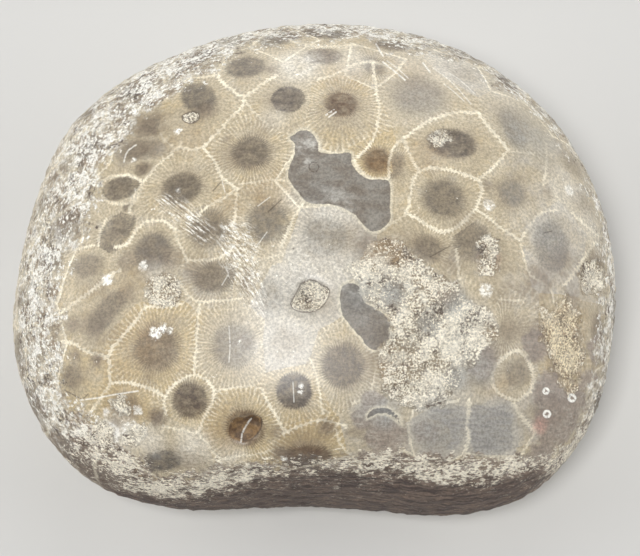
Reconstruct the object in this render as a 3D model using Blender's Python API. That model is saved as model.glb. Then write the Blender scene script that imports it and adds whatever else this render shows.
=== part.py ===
"""A Petoskey stone: one rounded pebble of fossil colony coral, lying on its back with its polished dome up.

The stone is a quad sphere whose every point is moved onto the pebble's form. The form is a plan outline
with a hollow on its front edge, a superellipse profile over and under the widest level, a few broad swells,
the worn patches and pits of the polished face, and a small flat on the underside where the stone rests.
Units are metres, +Z is up and the origin is the middle of that resting flat's plane.
"""

import math
from typing import NamedTuple

import bmesh
import bpy
from mathutils import Vector, noise
from mathutils.bvhtree import BVHTree

MM = 0.001

# The widest level of the stone, and how far the form reaches over and under it
WAIST_HEIGHT = 16.5 * MM
DOME_HEIGHT = 21.5 * MM
KEEL_DEPTH = 17.3 * MM

# Plan outline at the widest level, as seen from above: azimuth in degrees from +X, radius in millimetres
PLAN_OUTLINE = (
    (0, 42.0),
    (30, 40.8),
    (60, 38.4),
    (90, 37.1),
    (120, 37.2),
    (135, 39.1),
    (150, 40.9),
    (165, 40.3),
    (180, 41.1),
    (195, 43.5),
    (210, 43.9),
    (225, 42.7),
    (240, 38.7),
    (255, 34.6),
    (270, 33.1),
    (285, 34.9),
    (300, 39.6),
    (315, 43.8),
    (330, 44.4),
    (345, 42.8),
)

# Where the outline's own middle lies, so that the stone's box is centred on the origin
PLAN_MIDDLE = Vector((-0.15, -1.34, 0)) * MM

# Half axes of the rounder plan that the outline turns into towards the crown and the base
ROUND_HALF_LENGTH = 42.5 * MM
ROUND_HALF_WIDTH = 37.0 * MM
ROUND_FROM = math.radians(5)
ROUND_TO = math.radians(60)

# Superellipse exponents: 2 is an ellipse, more is fuller
DOME_FULLNESS = 2.25
KEEL_FULLNESS = 2.3
FRONT_WALL_FULLNESS = 3.0
FRONT_AZIMUTH = math.radians(285)
FRONT_SPREAD = math.radians(55)

# Broad natural unevenness
LUMP_SIZE = 22 * MM
LUMP_HEIGHT = 0.7 * MM

# Quads along each edge of the sphere's starting cube, and how far round a hollow they are halved
QUADS_PER_EDGE = 24
HALVED_REACH = 1.25


class Hollow(NamedTuple):
    """A shallow bowl in the dome: its middle in plan, its radius and its depth, in millimetres."""

    x: float
    y: float
    radius: float
    depth: float


HOLLOWS = {
    "crown pit": Hollow(-0.7, -12.9, 2.9, 0.9),
    "worn patch, back": Hollow(13.3, -10.8, 6.5, 0.45),
    "worn patch, front": Hollow(14.3, -19.3, 6.5, 0.45),
    "worn patch, right": Hollow(19.8, -15.8, 5.5, 0.35),
    "right shoulder, back": Hollow(32.8, -12.8, 4.0, 0.4),
    "right shoulder, front": Hollow(33.3, -19.3, 4.5, 0.4),
    "right edge pit": Hollow(37.4, -6.1, 3.2, 0.5),
    "pink pit": Hollow(23.2, -6.8, 3.0, 0.5),
    "back right eye": Hollow(17.4, 9.0, 3.0, 0.4),
    "back left chip": Hollow(-16.7, 13.7, 2.2, 0.5),
    "left pit": Hollow(-20.0, -11.5, 2.6, 0.4),
    "left chip": Hollow(-20.3, -16.8, 1.8, 0.4),
    "brown open eye": Hollow(-8.8, -29.3, 2.6, 0.9),
    "front left wear": Hollow(-25.0, -27.7, 4.0, 0.4),
}


def smoothstep(low, high, value):
    """0 below low, 1 above high, and a smooth ramp between."""
    share = min(max((value - low) / (high - low), 0.0), 1.0)
    return share * share * (3 - 2 * share)


def angle_between(a, b):
    """The least turn from azimuth a to azimuth b, in radians, without its sign."""
    return abs((a - b + math.pi) % math.tau - math.pi)


def outline_radius(azimuth):
    """Radius of the plan outline at an azimuth, on a smooth closed curve through the named points."""
    degrees = math.degrees(azimuth) % 360
    count = len(PLAN_OUTLINE)
    after = next((i for i, point in enumerate(PLAN_OUTLINE) if point[0] > degrees), 0)
    places = []
    for step in (-2, -1, 0, 1):
        index = after + step
        turn = 360 * (index // count)
        if after == 0:
            turn += 360
        angle, radius = PLAN_OUTLINE[index % count]
        places.append((angle + turn, radius * MM))
    (a0, r0), (a1, r1), (a2, r2), (a3, r3) = places
    share = (degrees - a1) / (a2 - a1)
    slope_1 = (r2 - r0) / (a2 - a0) * (a2 - a1)
    slope_2 = (r3 - r1) / (a3 - a1) * (a2 - a1)
    cube, square = share**3, share**2
    return (
        (2 * cube - 3 * square + 1) * r1
        + (cube - 2 * square + share) * slope_1
        + (3 * square - 2 * cube) * r2
        + (cube - square) * slope_2
    )


def round_radius(azimuth):
    """Radius of the rounder plan that the crown and the base have."""
    across = math.cos(azimuth) / ROUND_HALF_LENGTH
    along = math.sin(azimuth) / ROUND_HALF_WIDTH
    return 1 / math.hypot(across, along)


def pebble_point(direction):
    """The point of the pebble's form that lies towards a direction from its middle."""
    azimuth = math.atan2(direction.y, direction.x)
    latitude = math.asin(min(max(direction.z, -1.0), 1.0))
    roundness = smoothstep(ROUND_FROM, ROUND_TO, abs(latitude))
    radius = outline_radius(azimuth) * (1 - roundness) + round_radius(azimuth) * roundness
    if latitude >= 0:
        fullness, reach = DOME_FULLNESS, DOME_HEIGHT
    else:
        front = 1 - smoothstep(0, FRONT_SPREAD, angle_between(azimuth, FRONT_AZIMUTH))
        fullness = KEEL_FULLNESS + (FRONT_WALL_FULLNESS - KEEL_FULLNESS) * front
        reach = -KEEL_DEPTH
    plan = radius * math.cos(latitude) ** (2 / fullness)
    height = reach * abs(math.sin(latitude)) ** (2 / fullness)
    return Vector((plan * math.cos(azimuth), plan * math.sin(azimuth), WAIST_HEIGHT + height))


def stone_surface(direction):
    """The pebble's form with its broad lumps, over the origin and cut level where it rests."""
    place = pebble_point(direction)
    place += direction * (LUMP_HEIGHT * noise.noise(place / LUMP_SIZE))
    place += PLAN_MIDDLE
    place.z = max(place.z, 0.0)
    return place


def even_direction(place):
    """Turns a point of the starting cube into a direction, with the sphere's quads kept about equal."""
    return Vector([math.tan(value * math.pi / 4) for value in place]).normalized()


def near_hollow(place):
    """True for a point of the dome that lies in a hollow or close round it."""
    return place.z > WAIST_HEIGHT and any(
        math.hypot(place.x / MM - hollow.x, place.y / MM - hollow.y) < hollow.radius * HALVED_REACH
        for hollow in HOLLOWS.values()
    )


def halve_quads_at_hollows(cube):
    """Splits the starting cube's quads where the finished stone has a hollow."""
    edges = {
        edge
        for face in cube.faces
        if near_hollow(stone_surface(even_direction(face.calc_center_median())))
        for edge in face.edges
    }
    bmesh.ops.subdivide_edges(cube, edges=list(edges), cuts=1, use_grid_fill=True)


def sink_hollows(shape):
    """Presses each hollow into the dome as a round bowl with a soft edge."""
    shape.normal_update()
    dome = BVHTree.FromBMesh(shape)
    over_dome = WAIST_HEIGHT + 2 * DOME_HEIGHT
    down = Vector((0, 0, -1))
    middles = {
        name: dome.ray_cast(Vector((hollow.x * MM, hollow.y * MM, over_dome)), down)[0]
        for name, hollow in HOLLOWS.items()
    }
    for vertex in shape.verts:
        depth = 0.0
        for name, hollow in HOLLOWS.items():
            share = (vertex.co - middles[name]).length / (hollow.radius * MM)
            if share < 1:
                depth = max(depth, hollow.depth * MM * (1 - share * share) ** 1.5)
        vertex.co -= vertex.normal * depth


def build_stone(collection):
    """The whole stone as one closed mesh."""
    shape = bmesh.new()
    bmesh.ops.create_cube(shape, size=2)
    bmesh.ops.subdivide_edges(shape, edges=shape.edges[:], cuts=QUADS_PER_EDGE - 1, use_grid_fill=True)
    halve_quads_at_hollows(shape)
    for vertex in shape.verts:
        vertex.co = stone_surface(even_direction(vertex.co))
    sink_hollows(shape)
    mesh = bpy.data.meshes.new("petoskey_stone")
    shape.to_mesh(mesh)
    shape.free()
    mesh.shade_smooth()
    stone = bpy.data.objects.new("petoskey_stone", mesh)
    collection.objects.link(stone)
    return stone


def coral_limestone():
    """Warm grey fossil limestone with a soft polish."""
    material = bpy.data.materials.new("coral_limestone")
    material.use_nodes = True
    shader = material.node_tree.nodes["Principled BSDF"]
    shader.inputs["Base Color"].default_value = (0.40, 0.34, 0.25, 1)
    shader.inputs["Roughness"].default_value = 0.35
    shader.inputs["Metallic"].default_value = 0.0
    return material


def main():
    """Clears the scene and builds the stone in a collection of its own."""
    for old in list(bpy.data.objects):
        bpy.data.objects.remove(old)
    collection = bpy.data.collections.new("petoskey_stone")
    bpy.context.scene.collection.children.link(collection)
    stone = build_stone(collection)
    stone.data.materials.append(coral_limestone())


if __name__ == "__main__":
    main()
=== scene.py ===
"""Looks of a Petoskey stone, a hand-polished pebble of fossil colony coral.

The stone's form comes from the frame. This script copies it as one finer mesh, pits and roughens that mesh
where the real stone is worn, and lays the coral's pattern on it: cells with dark eyes, fine radial septa and
pale walls, grey mud between the cells, grainy worn patches, scratches and a weathered rim.
Places on the polished face are pixels of the photograph's 640 by 556 frame. All other sizes are millimetres.
"""

import logging
import math
from dataclasses import dataclass
from enum import Enum

import bmesh
import bpy
import numpy as np
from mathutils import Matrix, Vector, noise
from mathutils.bvhtree import BVHTree


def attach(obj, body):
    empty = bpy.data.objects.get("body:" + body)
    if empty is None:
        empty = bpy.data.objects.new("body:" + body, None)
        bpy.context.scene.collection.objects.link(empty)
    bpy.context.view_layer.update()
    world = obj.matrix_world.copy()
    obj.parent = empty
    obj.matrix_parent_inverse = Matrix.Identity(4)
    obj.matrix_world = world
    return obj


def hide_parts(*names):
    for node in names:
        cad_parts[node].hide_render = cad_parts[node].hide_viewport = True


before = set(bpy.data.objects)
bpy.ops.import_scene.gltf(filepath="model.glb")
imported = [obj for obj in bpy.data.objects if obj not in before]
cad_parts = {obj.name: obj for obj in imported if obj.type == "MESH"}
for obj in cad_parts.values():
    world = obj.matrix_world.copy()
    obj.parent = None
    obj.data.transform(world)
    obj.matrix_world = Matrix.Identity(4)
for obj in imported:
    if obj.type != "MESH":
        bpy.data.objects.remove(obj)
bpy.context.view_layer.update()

MM = 0.001
STONE_NODE = "petoskey_stone"
FAR_AWAY = 1000.0

# The stone's middle, and half its length, width and height
MIDDLE = (0.0, -1.3, 17.0)
HALF_AXES = (42.0, 36.0, 19.0)

Pixel = tuple[float, float]
Colour = tuple[float, float, float, float]

log = logging.getLogger("petoskey_stone")


def srgb(red: int, green: int, blue: int) -> Colour:
    """Turns a screen colour of 0 to 255 into the linear colour that a shader reads."""
    linear = [
        value / 12.92 if value <= 0.04045 else ((value + 0.055) / 1.055) ** 2.4
        for value in (red / 255, green / 255, blue / 255)
    ]
    return (linear[0], linear[1], linear[2], 1.0)


def smooth_share(low: float, high: float, value: np.ndarray) -> np.ndarray:
    """0 below low, 1 above high, and a smooth ramp between."""
    share = np.clip((value - low) / (high - low), 0.0, 1.0)
    return share * share * (3 - 2 * share)


def placed(name: str, data: bpy.types.ID) -> bpy.types.Object:
    """Makes an object of a mesh, lamp or camera and links it to the scene."""
    item = bpy.data.objects.new(name, data)
    bpy.context.scene.collection.objects.link(item)
    return item


def finished(name: str, shape: bmesh.types.BMesh) -> bpy.types.Mesh:
    """Turns a worked shape into a mesh."""
    mesh = bpy.data.meshes.new(name)
    shape.to_mesh(mesh)
    shape.free()
    return mesh


@dataclass(frozen=True)
class PhotoView:
    """The camera of the photograph, which also tells where one of its pixels lies on the stone."""

    elevation: float = math.radians(68)
    distance: float = 315.0
    lens: float = 126.0
    sensor: float = 36.0
    width: int = 640
    height: int = 556
    aim: tuple[float, float, float] = (0.65, -2.14, 16.0)

    @property
    def back(self) -> np.ndarray:
        """The direction from the aim point to the camera."""
        return np.array([0.0, -math.cos(self.elevation), math.sin(self.elevation)])

    @property
    def right(self) -> np.ndarray:
        """The picture's direction to the right."""
        return np.array([1.0, 0.0, 0.0])

    @property
    def up(self) -> np.ndarray:
        """The picture's upward direction."""
        return np.cross(self.back, self.right)

    @property
    def eye(self) -> np.ndarray:
        """The camera's place."""
        return np.array(self.aim) + self.back * self.distance

    @property
    def focal_pixels(self) -> float:
        """Pixels in the picture for one unit of width at a depth of one unit."""
        return self.lens / self.sensor * self.width

    @property
    def pixels_per_mm(self) -> float:
        """Scale of the picture at the aim point."""
        return self.focal_pixels / self.distance

    def picture_place(self, points: np.ndarray) -> np.ndarray:
        """Where points show in the picture.

        Args:
            points: places on the stone, one to a row.

        Returns:
            Pixel column and row of each point.
        """
        offset = points - self.eye
        depth = -(offset @ self.back)
        column = self.width / 2 + self.focal_pixels * (offset @ self.right) / depth
        row = self.height / 2 - self.focal_pixels * (offset @ self.up) / depth
        return np.stack([column, row], axis=1)

    def facing(self, points: np.ndarray, normals: np.ndarray) -> np.ndarray:
        """Cosine of the angle between each normal and the direction to the camera."""
        toward = self.eye - points
        toward /= np.linalg.norm(toward, axis=1, keepdims=True)
        return np.einsum("ij,ij->i", toward, normals)

    def land(self, pixel: Pixel, surface: BVHTree) -> np.ndarray:
        """The place on the stone that a pixel shows.

        Args:
            pixel: column and row in the picture.
            surface: the stone's surface, in millimetres.

        Returns:
            The place, or the nearest one on the stone for a pixel beside it.
        """
        across = (pixel[0] - self.width / 2) / self.focal_pixels
        upward = (self.height / 2 - pixel[1]) / self.focal_pixels
        ray = Vector(self.right * across + self.up * upward - self.back).normalized()
        start = Vector(self.eye)
        hit = surface.ray_cast(start, ray)[0]
        if hit is None:
            hit = surface.find_nearest(start + ray * self.distance)[0]
        return np.array(hit)

    def build(self) -> bpy.types.Object:
        """Makes the camera and gives it to the scene."""
        data = bpy.data.cameras.new("photo_view")
        data.lens = self.lens
        data.sensor_width = self.sensor
        data.clip_start = 0.01
        data.clip_end = 50
        camera = placed("photo_view", data)
        camera.location = Vector(self.eye) * MM
        camera.rotation_euler = (math.pi / 2 - self.elevation, 0, 0)
        bpy.context.scene.camera = camera
        return camera


@dataclass(frozen=True)
class Seat:
    """One of the centres that a coral cell spreads from, and how far it reaches."""

    at: Pixel
    reach: float


@dataclass(frozen=True)
class Corallite:
    """One cell of the coral, with the dark eye that was its living middle.

    at: the eye's middle.
    eye: the eye's radius.
    dark: how dark the eye is, from 0 to 1.
    warm: how brown the eye is, from -1, blue grey, to 1, rust.
    reach: the cell's mean radius, where it has one seat in the eye's place.
    seats: the cell's own centres, where they are not the eye's place.
    stretch: share by which the eye is longer along its turn than across it.
    turn: azimuth of the eye's long way, in degrees from the right.
    soft: width of the eye's blurred edge.
    tan: how warm the cell is, from -1, grey, to 1, honey.
    septa: number of fine radial lines.
    rays: how clearly those lines show, from 0 to 1.
    """

    name: str
    at: Pixel
    eye: float
    dark: float
    warm: float = 0.0
    reach: float = 4.0
    seats: tuple[Seat, ...] = ()
    stretch: float = 0.0
    turn: float = 0.0
    soft: float = 0.9
    tan: float = 0.0
    septa: int = 44
    rays: float = 0.4

    def all_seats(self) -> tuple[Seat, ...]:
        """The cell's centres."""
        return self.seats or (Seat(self.at, self.reach),)


CORALLITES = (
    Corallite("back left", (245, 67), 2.4, 0.6, reach=3.6, stretch=0.1, tan=-0.1),
    Corallite("jagged grey", (288, 99), 2.2, 0.75, seats=(Seat((284, 103), 4.4),), soft=0.4, rays=0.5),
    Corallite(
        "rust eye", (341, 104), 2.2, 0.7, 0.9, seats=(Seat((343, 110), 5.6),), tan=0.4, septa=56,
        rays=0.9,
    ),
    Corallite(
        "back middle", (323, 56), 2.1, 0.6, 0.5, seats=(Seat((322, 60), 3.6),), stretch=0.2, tan=0.2,
    ),
    Corallite("back edge", (325, 33), 2.4, 0.6, 0.1, seats=(Seat((324, 28), 3.4),), stretch=0.3),
    Corallite("back right brown", (391, 45), 1.7, 0.6, 0.6, seats=(Seat((393, 42), 3.8),), stretch=0.3),
    Corallite("pale back right", (418, 95), 3.7, 0.3, -0.1, seats=(Seat((422, 92), 6.2),), soft=2.2),
    Corallite(
        "olive wedge", (378, 160), 1.9, 0.7, 0.7, seats=(Seat((376, 158), 3.2),), soft=1.5, tan=0.7,
    ),
    Corallite(
        "loop", (395, 164), 1.5, 0.5, 0.5,
        seats=(Seat((400, 160), 2.2), Seat((402, 180), 1.9), Seat((401, 200), 1.8)), stretch=0.3,
        turn=80, soft=1.5, tan=0.2,
    ),
    Corallite(
        "open back right", (452, 144), 2.7, 0.7, 0.15,
        seats=(Seat((436, 145), 4.4), Seat((470, 145), 4.6)), stretch=0.15, tan=0.1, rays=0.35,
    ),
    Corallite(
        "round right", (443, 198), 2.8, 0.55, -0.2, seats=(Seat((446, 199), 4.8),), soft=1.7, septa=56,
    ),
    Corallite(
        "tall grey", (513, 130), 2.1, 0.3, -0.4, seats=(Seat((520, 122), 4.7),), stretch=0.35, turn=100,
        tan=-0.2,
    ),
    Corallite(
        "pale right", (573, 165), 1.5, 0.05, seats=(Seat((572, 165), 3.7),), soft=1.5, tan=-0.3,
        rays=0.2,
    ),
    Corallite(
        "grey right", (512, 193), 1.9, 0.42, -0.6, seats=(Seat((514, 190), 4.8),), soft=1.1, tan=-0.3,
    ),
    Corallite(
        "big right", (552, 246), 3.0, 0.5, -0.4, seats=(Seat((556, 247), 4.8),), stretch=0.12, turn=90,
        tan=-0.6,
    ),
    Corallite("right shoulder back", (583, 203), 1.0, 0.05, reach=2.8, tan=-0.3, rays=0.2),
    Corallite("right pit", (597, 273), 2.0, 0.5, 0.2, reach=3.3, soft=1.2, tan=-0.3, rays=0.2),
    Corallite(
        "pink", (472, 241), 2.6, 0.5, 0.1, seats=(Seat((487, 256), 4.8),), soft=1.1, tan=-0.1, septa=50,
    ),
    Corallite(
        "under round", (428, 249), 1.9, 0.5, 0.2, seats=(Seat((418, 245), 3.9),), soft=1.4, tan=0.1,
    ),
    Corallite(
        "right flat", (505, 330), 1.2, 0.05, 0.2, seats=(Seat((512, 328), 3.9),), soft=2.0, tan=-0.2,
        rays=0.8,
    ),
    Corallite(
        "pale ring", (518, 372), 1.9, 0.3, -0.4, seats=(Seat((514, 377), 3.0),), soft=0.8, rays=0.3,
    ),
    Corallite("orange back", (560, 332), 1.5, 0.1, 0.4, reach=3.4, soft=1.5, tan=0.5),
    Corallite("orange front", (562, 366), 1.5, 0.1, 0.4, reach=3.4, soft=1.5, tan=0.5),
    Corallite("right edge", (599, 331), 1.6, 0.3, 0.5, reach=2.6, soft=1.2, tan=0.2, rays=0.2),
    Corallite("purple matrix", (548, 415), 2.6, 0.1, 0.1, reach=5.0, soft=2.5, tan=-0.5, rays=0.1),
    Corallite("worn back", (398, 292), 1.5, 0.1, reach=5.0),
    Corallite("worn middle", (424, 336), 1.5, 0.1, reach=5.0),
    Corallite("worn front", (414, 385), 1.5, 0.1, reach=5.0),
    Corallite("worn right", (468, 320), 1.5, 0.1, reach=4.8),
    Corallite(
        "front right grey", (483, 372), 1.8, 0.3, -0.4, seats=(Seat((472, 385), 3.4),), soft=1.2,
        tan=-0.5,
    ),
    Corallite(
        "crown back", (325, 236), 2.8, 0.34, -1.0, seats=(Seat((325, 238), 5.3),), soft=0.8, tan=-0.9,
        rays=0.6,
    ),
    Corallite(
        "crown pit", (305, 296), 2.9, 0.26, -0.4, seats=(Seat((308, 295), 4.2),), soft=0.8, tan=-0.9,
    ),
    Corallite(
        "blue left of pit", (272, 298), 1.9, 0.35, -1.0, reach=3.1, stretch=0.3, turn=90, soft=1.0,
        tan=-1.0,
    ),
    Corallite("scratched", (247, 284), 0.9, 0.1, reach=2.7, tan=-0.1),
    # The gleam cell's pale grey, with almost no eye, is partly painted highlight where the dome's glare
    # falls.
    Corallite("gleam", (284, 344), 1.6, 0.02, reach=4.2, soft=1.6, tan=-1.0),
    Corallite(
        "striped middle", (234, 346), 2.8, 0.42, -0.3, seats=(Seat((232, 345), 5.6),), tan=0.1, septa=60,
        rays=0.9,
    ),
    Corallite(
        "middle front", (343, 366), 2.8, 0.6, 0.1, seats=(Seat((347, 366), 5.3),), soft=1.0, septa=56,
        rays=0.8,
    ),
    Corallite(
        "dark front", (294, 391), 2.3, 0.85, 0.2, seats=(Seat((295, 393), 4.5),), soft=0.5, tan=0.4,
        rays=0.8,
    ),
    Corallite(
        "big left", (157, 348), 3.1, 0.5, 0.55, seats=(Seat((153, 347), 6.5),), soft=1.8, tan=0.7,
        septa=60, rays=0.8,
    ),
    Corallite(
        "slanted left", (106, 313), 2.0, 0.42, 0.05,
        seats=(Seat((90, 325), 3.3), Seat((112, 305), 3.3), Seat((132, 285), 3.0)), stretch=0.42,
        turn=42, tan=0.2, rays=0.2,
    ),
    Corallite(
        "left edge front", (71, 377), 1.5, 0.42, 0.3, seats=(Seat((82, 370), 3.4),), soft=0.9, tan=0.5,
        rays=0.2,
    ),
    Corallite(
        "left edge", (87, 265), 1.9, 0.36, 0.1, seats=(Seat((90, 270), 3.4),), stretch=0.2, soft=1.1,
        tan=0.1, rays=0.3,
    ),
    Corallite("grainy left", (163, 290), 1.2, 0.05, seats=(Seat((160, 288), 3.1),), tan=-0.1),
    Corallite(
        "left arch", (153, 251), 2.5, 0.55, -0.3, seats=(Seat((152, 247), 3.8),), soft=1.0, tan=-0.1,
    ),
    Corallite(
        "left slant", (116, 232), 2.4, 0.55, 0.15, seats=(Seat((114, 230), 3.1),), stretch=0.3, turn=50,
        soft=0.5,
    ),
    Corallite("little left", (128, 207), 0.8, 0.5, 0.1, reach=1.5, soft=0.5),
    Corallite(
        "crisp left", (121, 188), 2.1, 0.62, 0.15, reach=2.7, stretch=0.2, turn=8, soft=0.3, rays=0.2,
    ),
    Corallite("little upper left", (142, 169), 1.1, 0.4, 0.2, reach=2.0, soft=0.6),
    Corallite(
        "left grey", (140, 150), 2.2, 0.35, -0.1, reach=2.6, stretch=0.3, soft=1.2, tan=-0.2, rays=0.2,
    ),
    Corallite(
        "left smear", (152, 128), 2.1, 0.4, -0.1, seats=(Seat((141, 124), 3.0),), soft=1.5, rays=0.2,
    ),
    Corallite(
        "lobed", (198, 97), 2.5, 0.6, -0.2,
        seats=(Seat((190, 100), 4.0), Seat((206, 124), 3.7), Seat((182, 122), 3.4)), stretch=0.15,
        turn=-50, tan=0.2,
    ),
    Corallite(
        "streaked left", (182, 188), 2.4, 0.62, 0.0,
        seats=(Seat((180, 185), 4.8), Seat((212, 188), 3.1)), stretch=0.1, tan=0.1, septa=52, rays=0.6,
    ),
    Corallite(
        "fringed", (251, 153), 2.6, 0.6, 0.1, seats=(Seat((246, 150), 5.0),), soft=1.2, tan=0.2,
        septa=56, rays=0.9,
    ),
    Corallite(
        "cloudy", (208, 228), 2.7, 0.5, -0.1, seats=(Seat((208, 232), 4.2),), soft=1.5, tan=-0.1,
        rays=0.5,
    ),
    Corallite(
        "scratched eye", (268, 222), 2.8, 0.5, -0.4, seats=(Seat((266, 222), 4.8),), soft=1.1, septa=52,
        rays=0.6,
    ),
    Corallite(
        "fan", (215, 277), 2.4, 0.5, 0.0, seats=(Seat((213, 280), 3.7),), stretch=0.15, tan=-0.3,
        rays=0.6,
    ),
    Corallite("front left", (190, 400), 2.3, 0.8, 0.35, reach=3.7, soft=0.9, tan=0.4, septa=44, rays=0.5),
    Corallite(
        "stained front left", (128, 406), 1.5, 0.3, 0.6, seats=(Seat((125, 408), 4.2),), soft=1.5,
        tan=0.6,
    ),
    Corallite(
        "front edge left", (163, 461), 1.9, 0.8, -0.2, seats=(Seat((168, 450), 4.6),), stretch=0.25,
        soft=0.9,
    ),
    Corallite(
        "brown open eye", (246, 428), 2.5, 0.6, 1.0, seats=(Seat((243, 424), 5.0),), soft=0.7, tan=0.7,
        septa=52, rays=1.0,
    ),
    Corallite(
        "front edge middle", (308, 457), 2.2, 0.85, 0.6, seats=(Seat((312, 442), 4.0),), stretch=0.3,
        tan=0.8, rays=0.8,
    ),
    Corallite("crescent", (376, 428), 1.5, 0.05, -0.2, reach=4.2, soft=1.5, tan=-0.4, rays=0.1),
    Corallite("grey front middle", (437, 429), 2.6, 0.15, -0.7, reach=4.2, soft=2.0, tan=-0.7, rays=0.1),
    Corallite("grey front right", (492, 428), 2.6, 0.2, -0.7, reach=4.0, soft=2.0, tan=-0.7, rays=0.1),
    Corallite("front right corner", (545, 448), 1.6, 0.1, reach=3.4, soft=1.5, rays=0.1),
    Corallite("olive front", (248, 472), 1.6, 0.25, 0.5, reach=2.8, soft=1.2, tan=0.6),
    Corallite("hazy back right", (458, 72), 1.5, 0.05, reach=3.7, soft=1.5, tan=-0.6, rays=0.3),
)


@dataclass(frozen=True)
class Wall:
    """A wall between cells, as a line on the polished face."""

    strength: float
    route: tuple[Pixel, ...]


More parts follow.
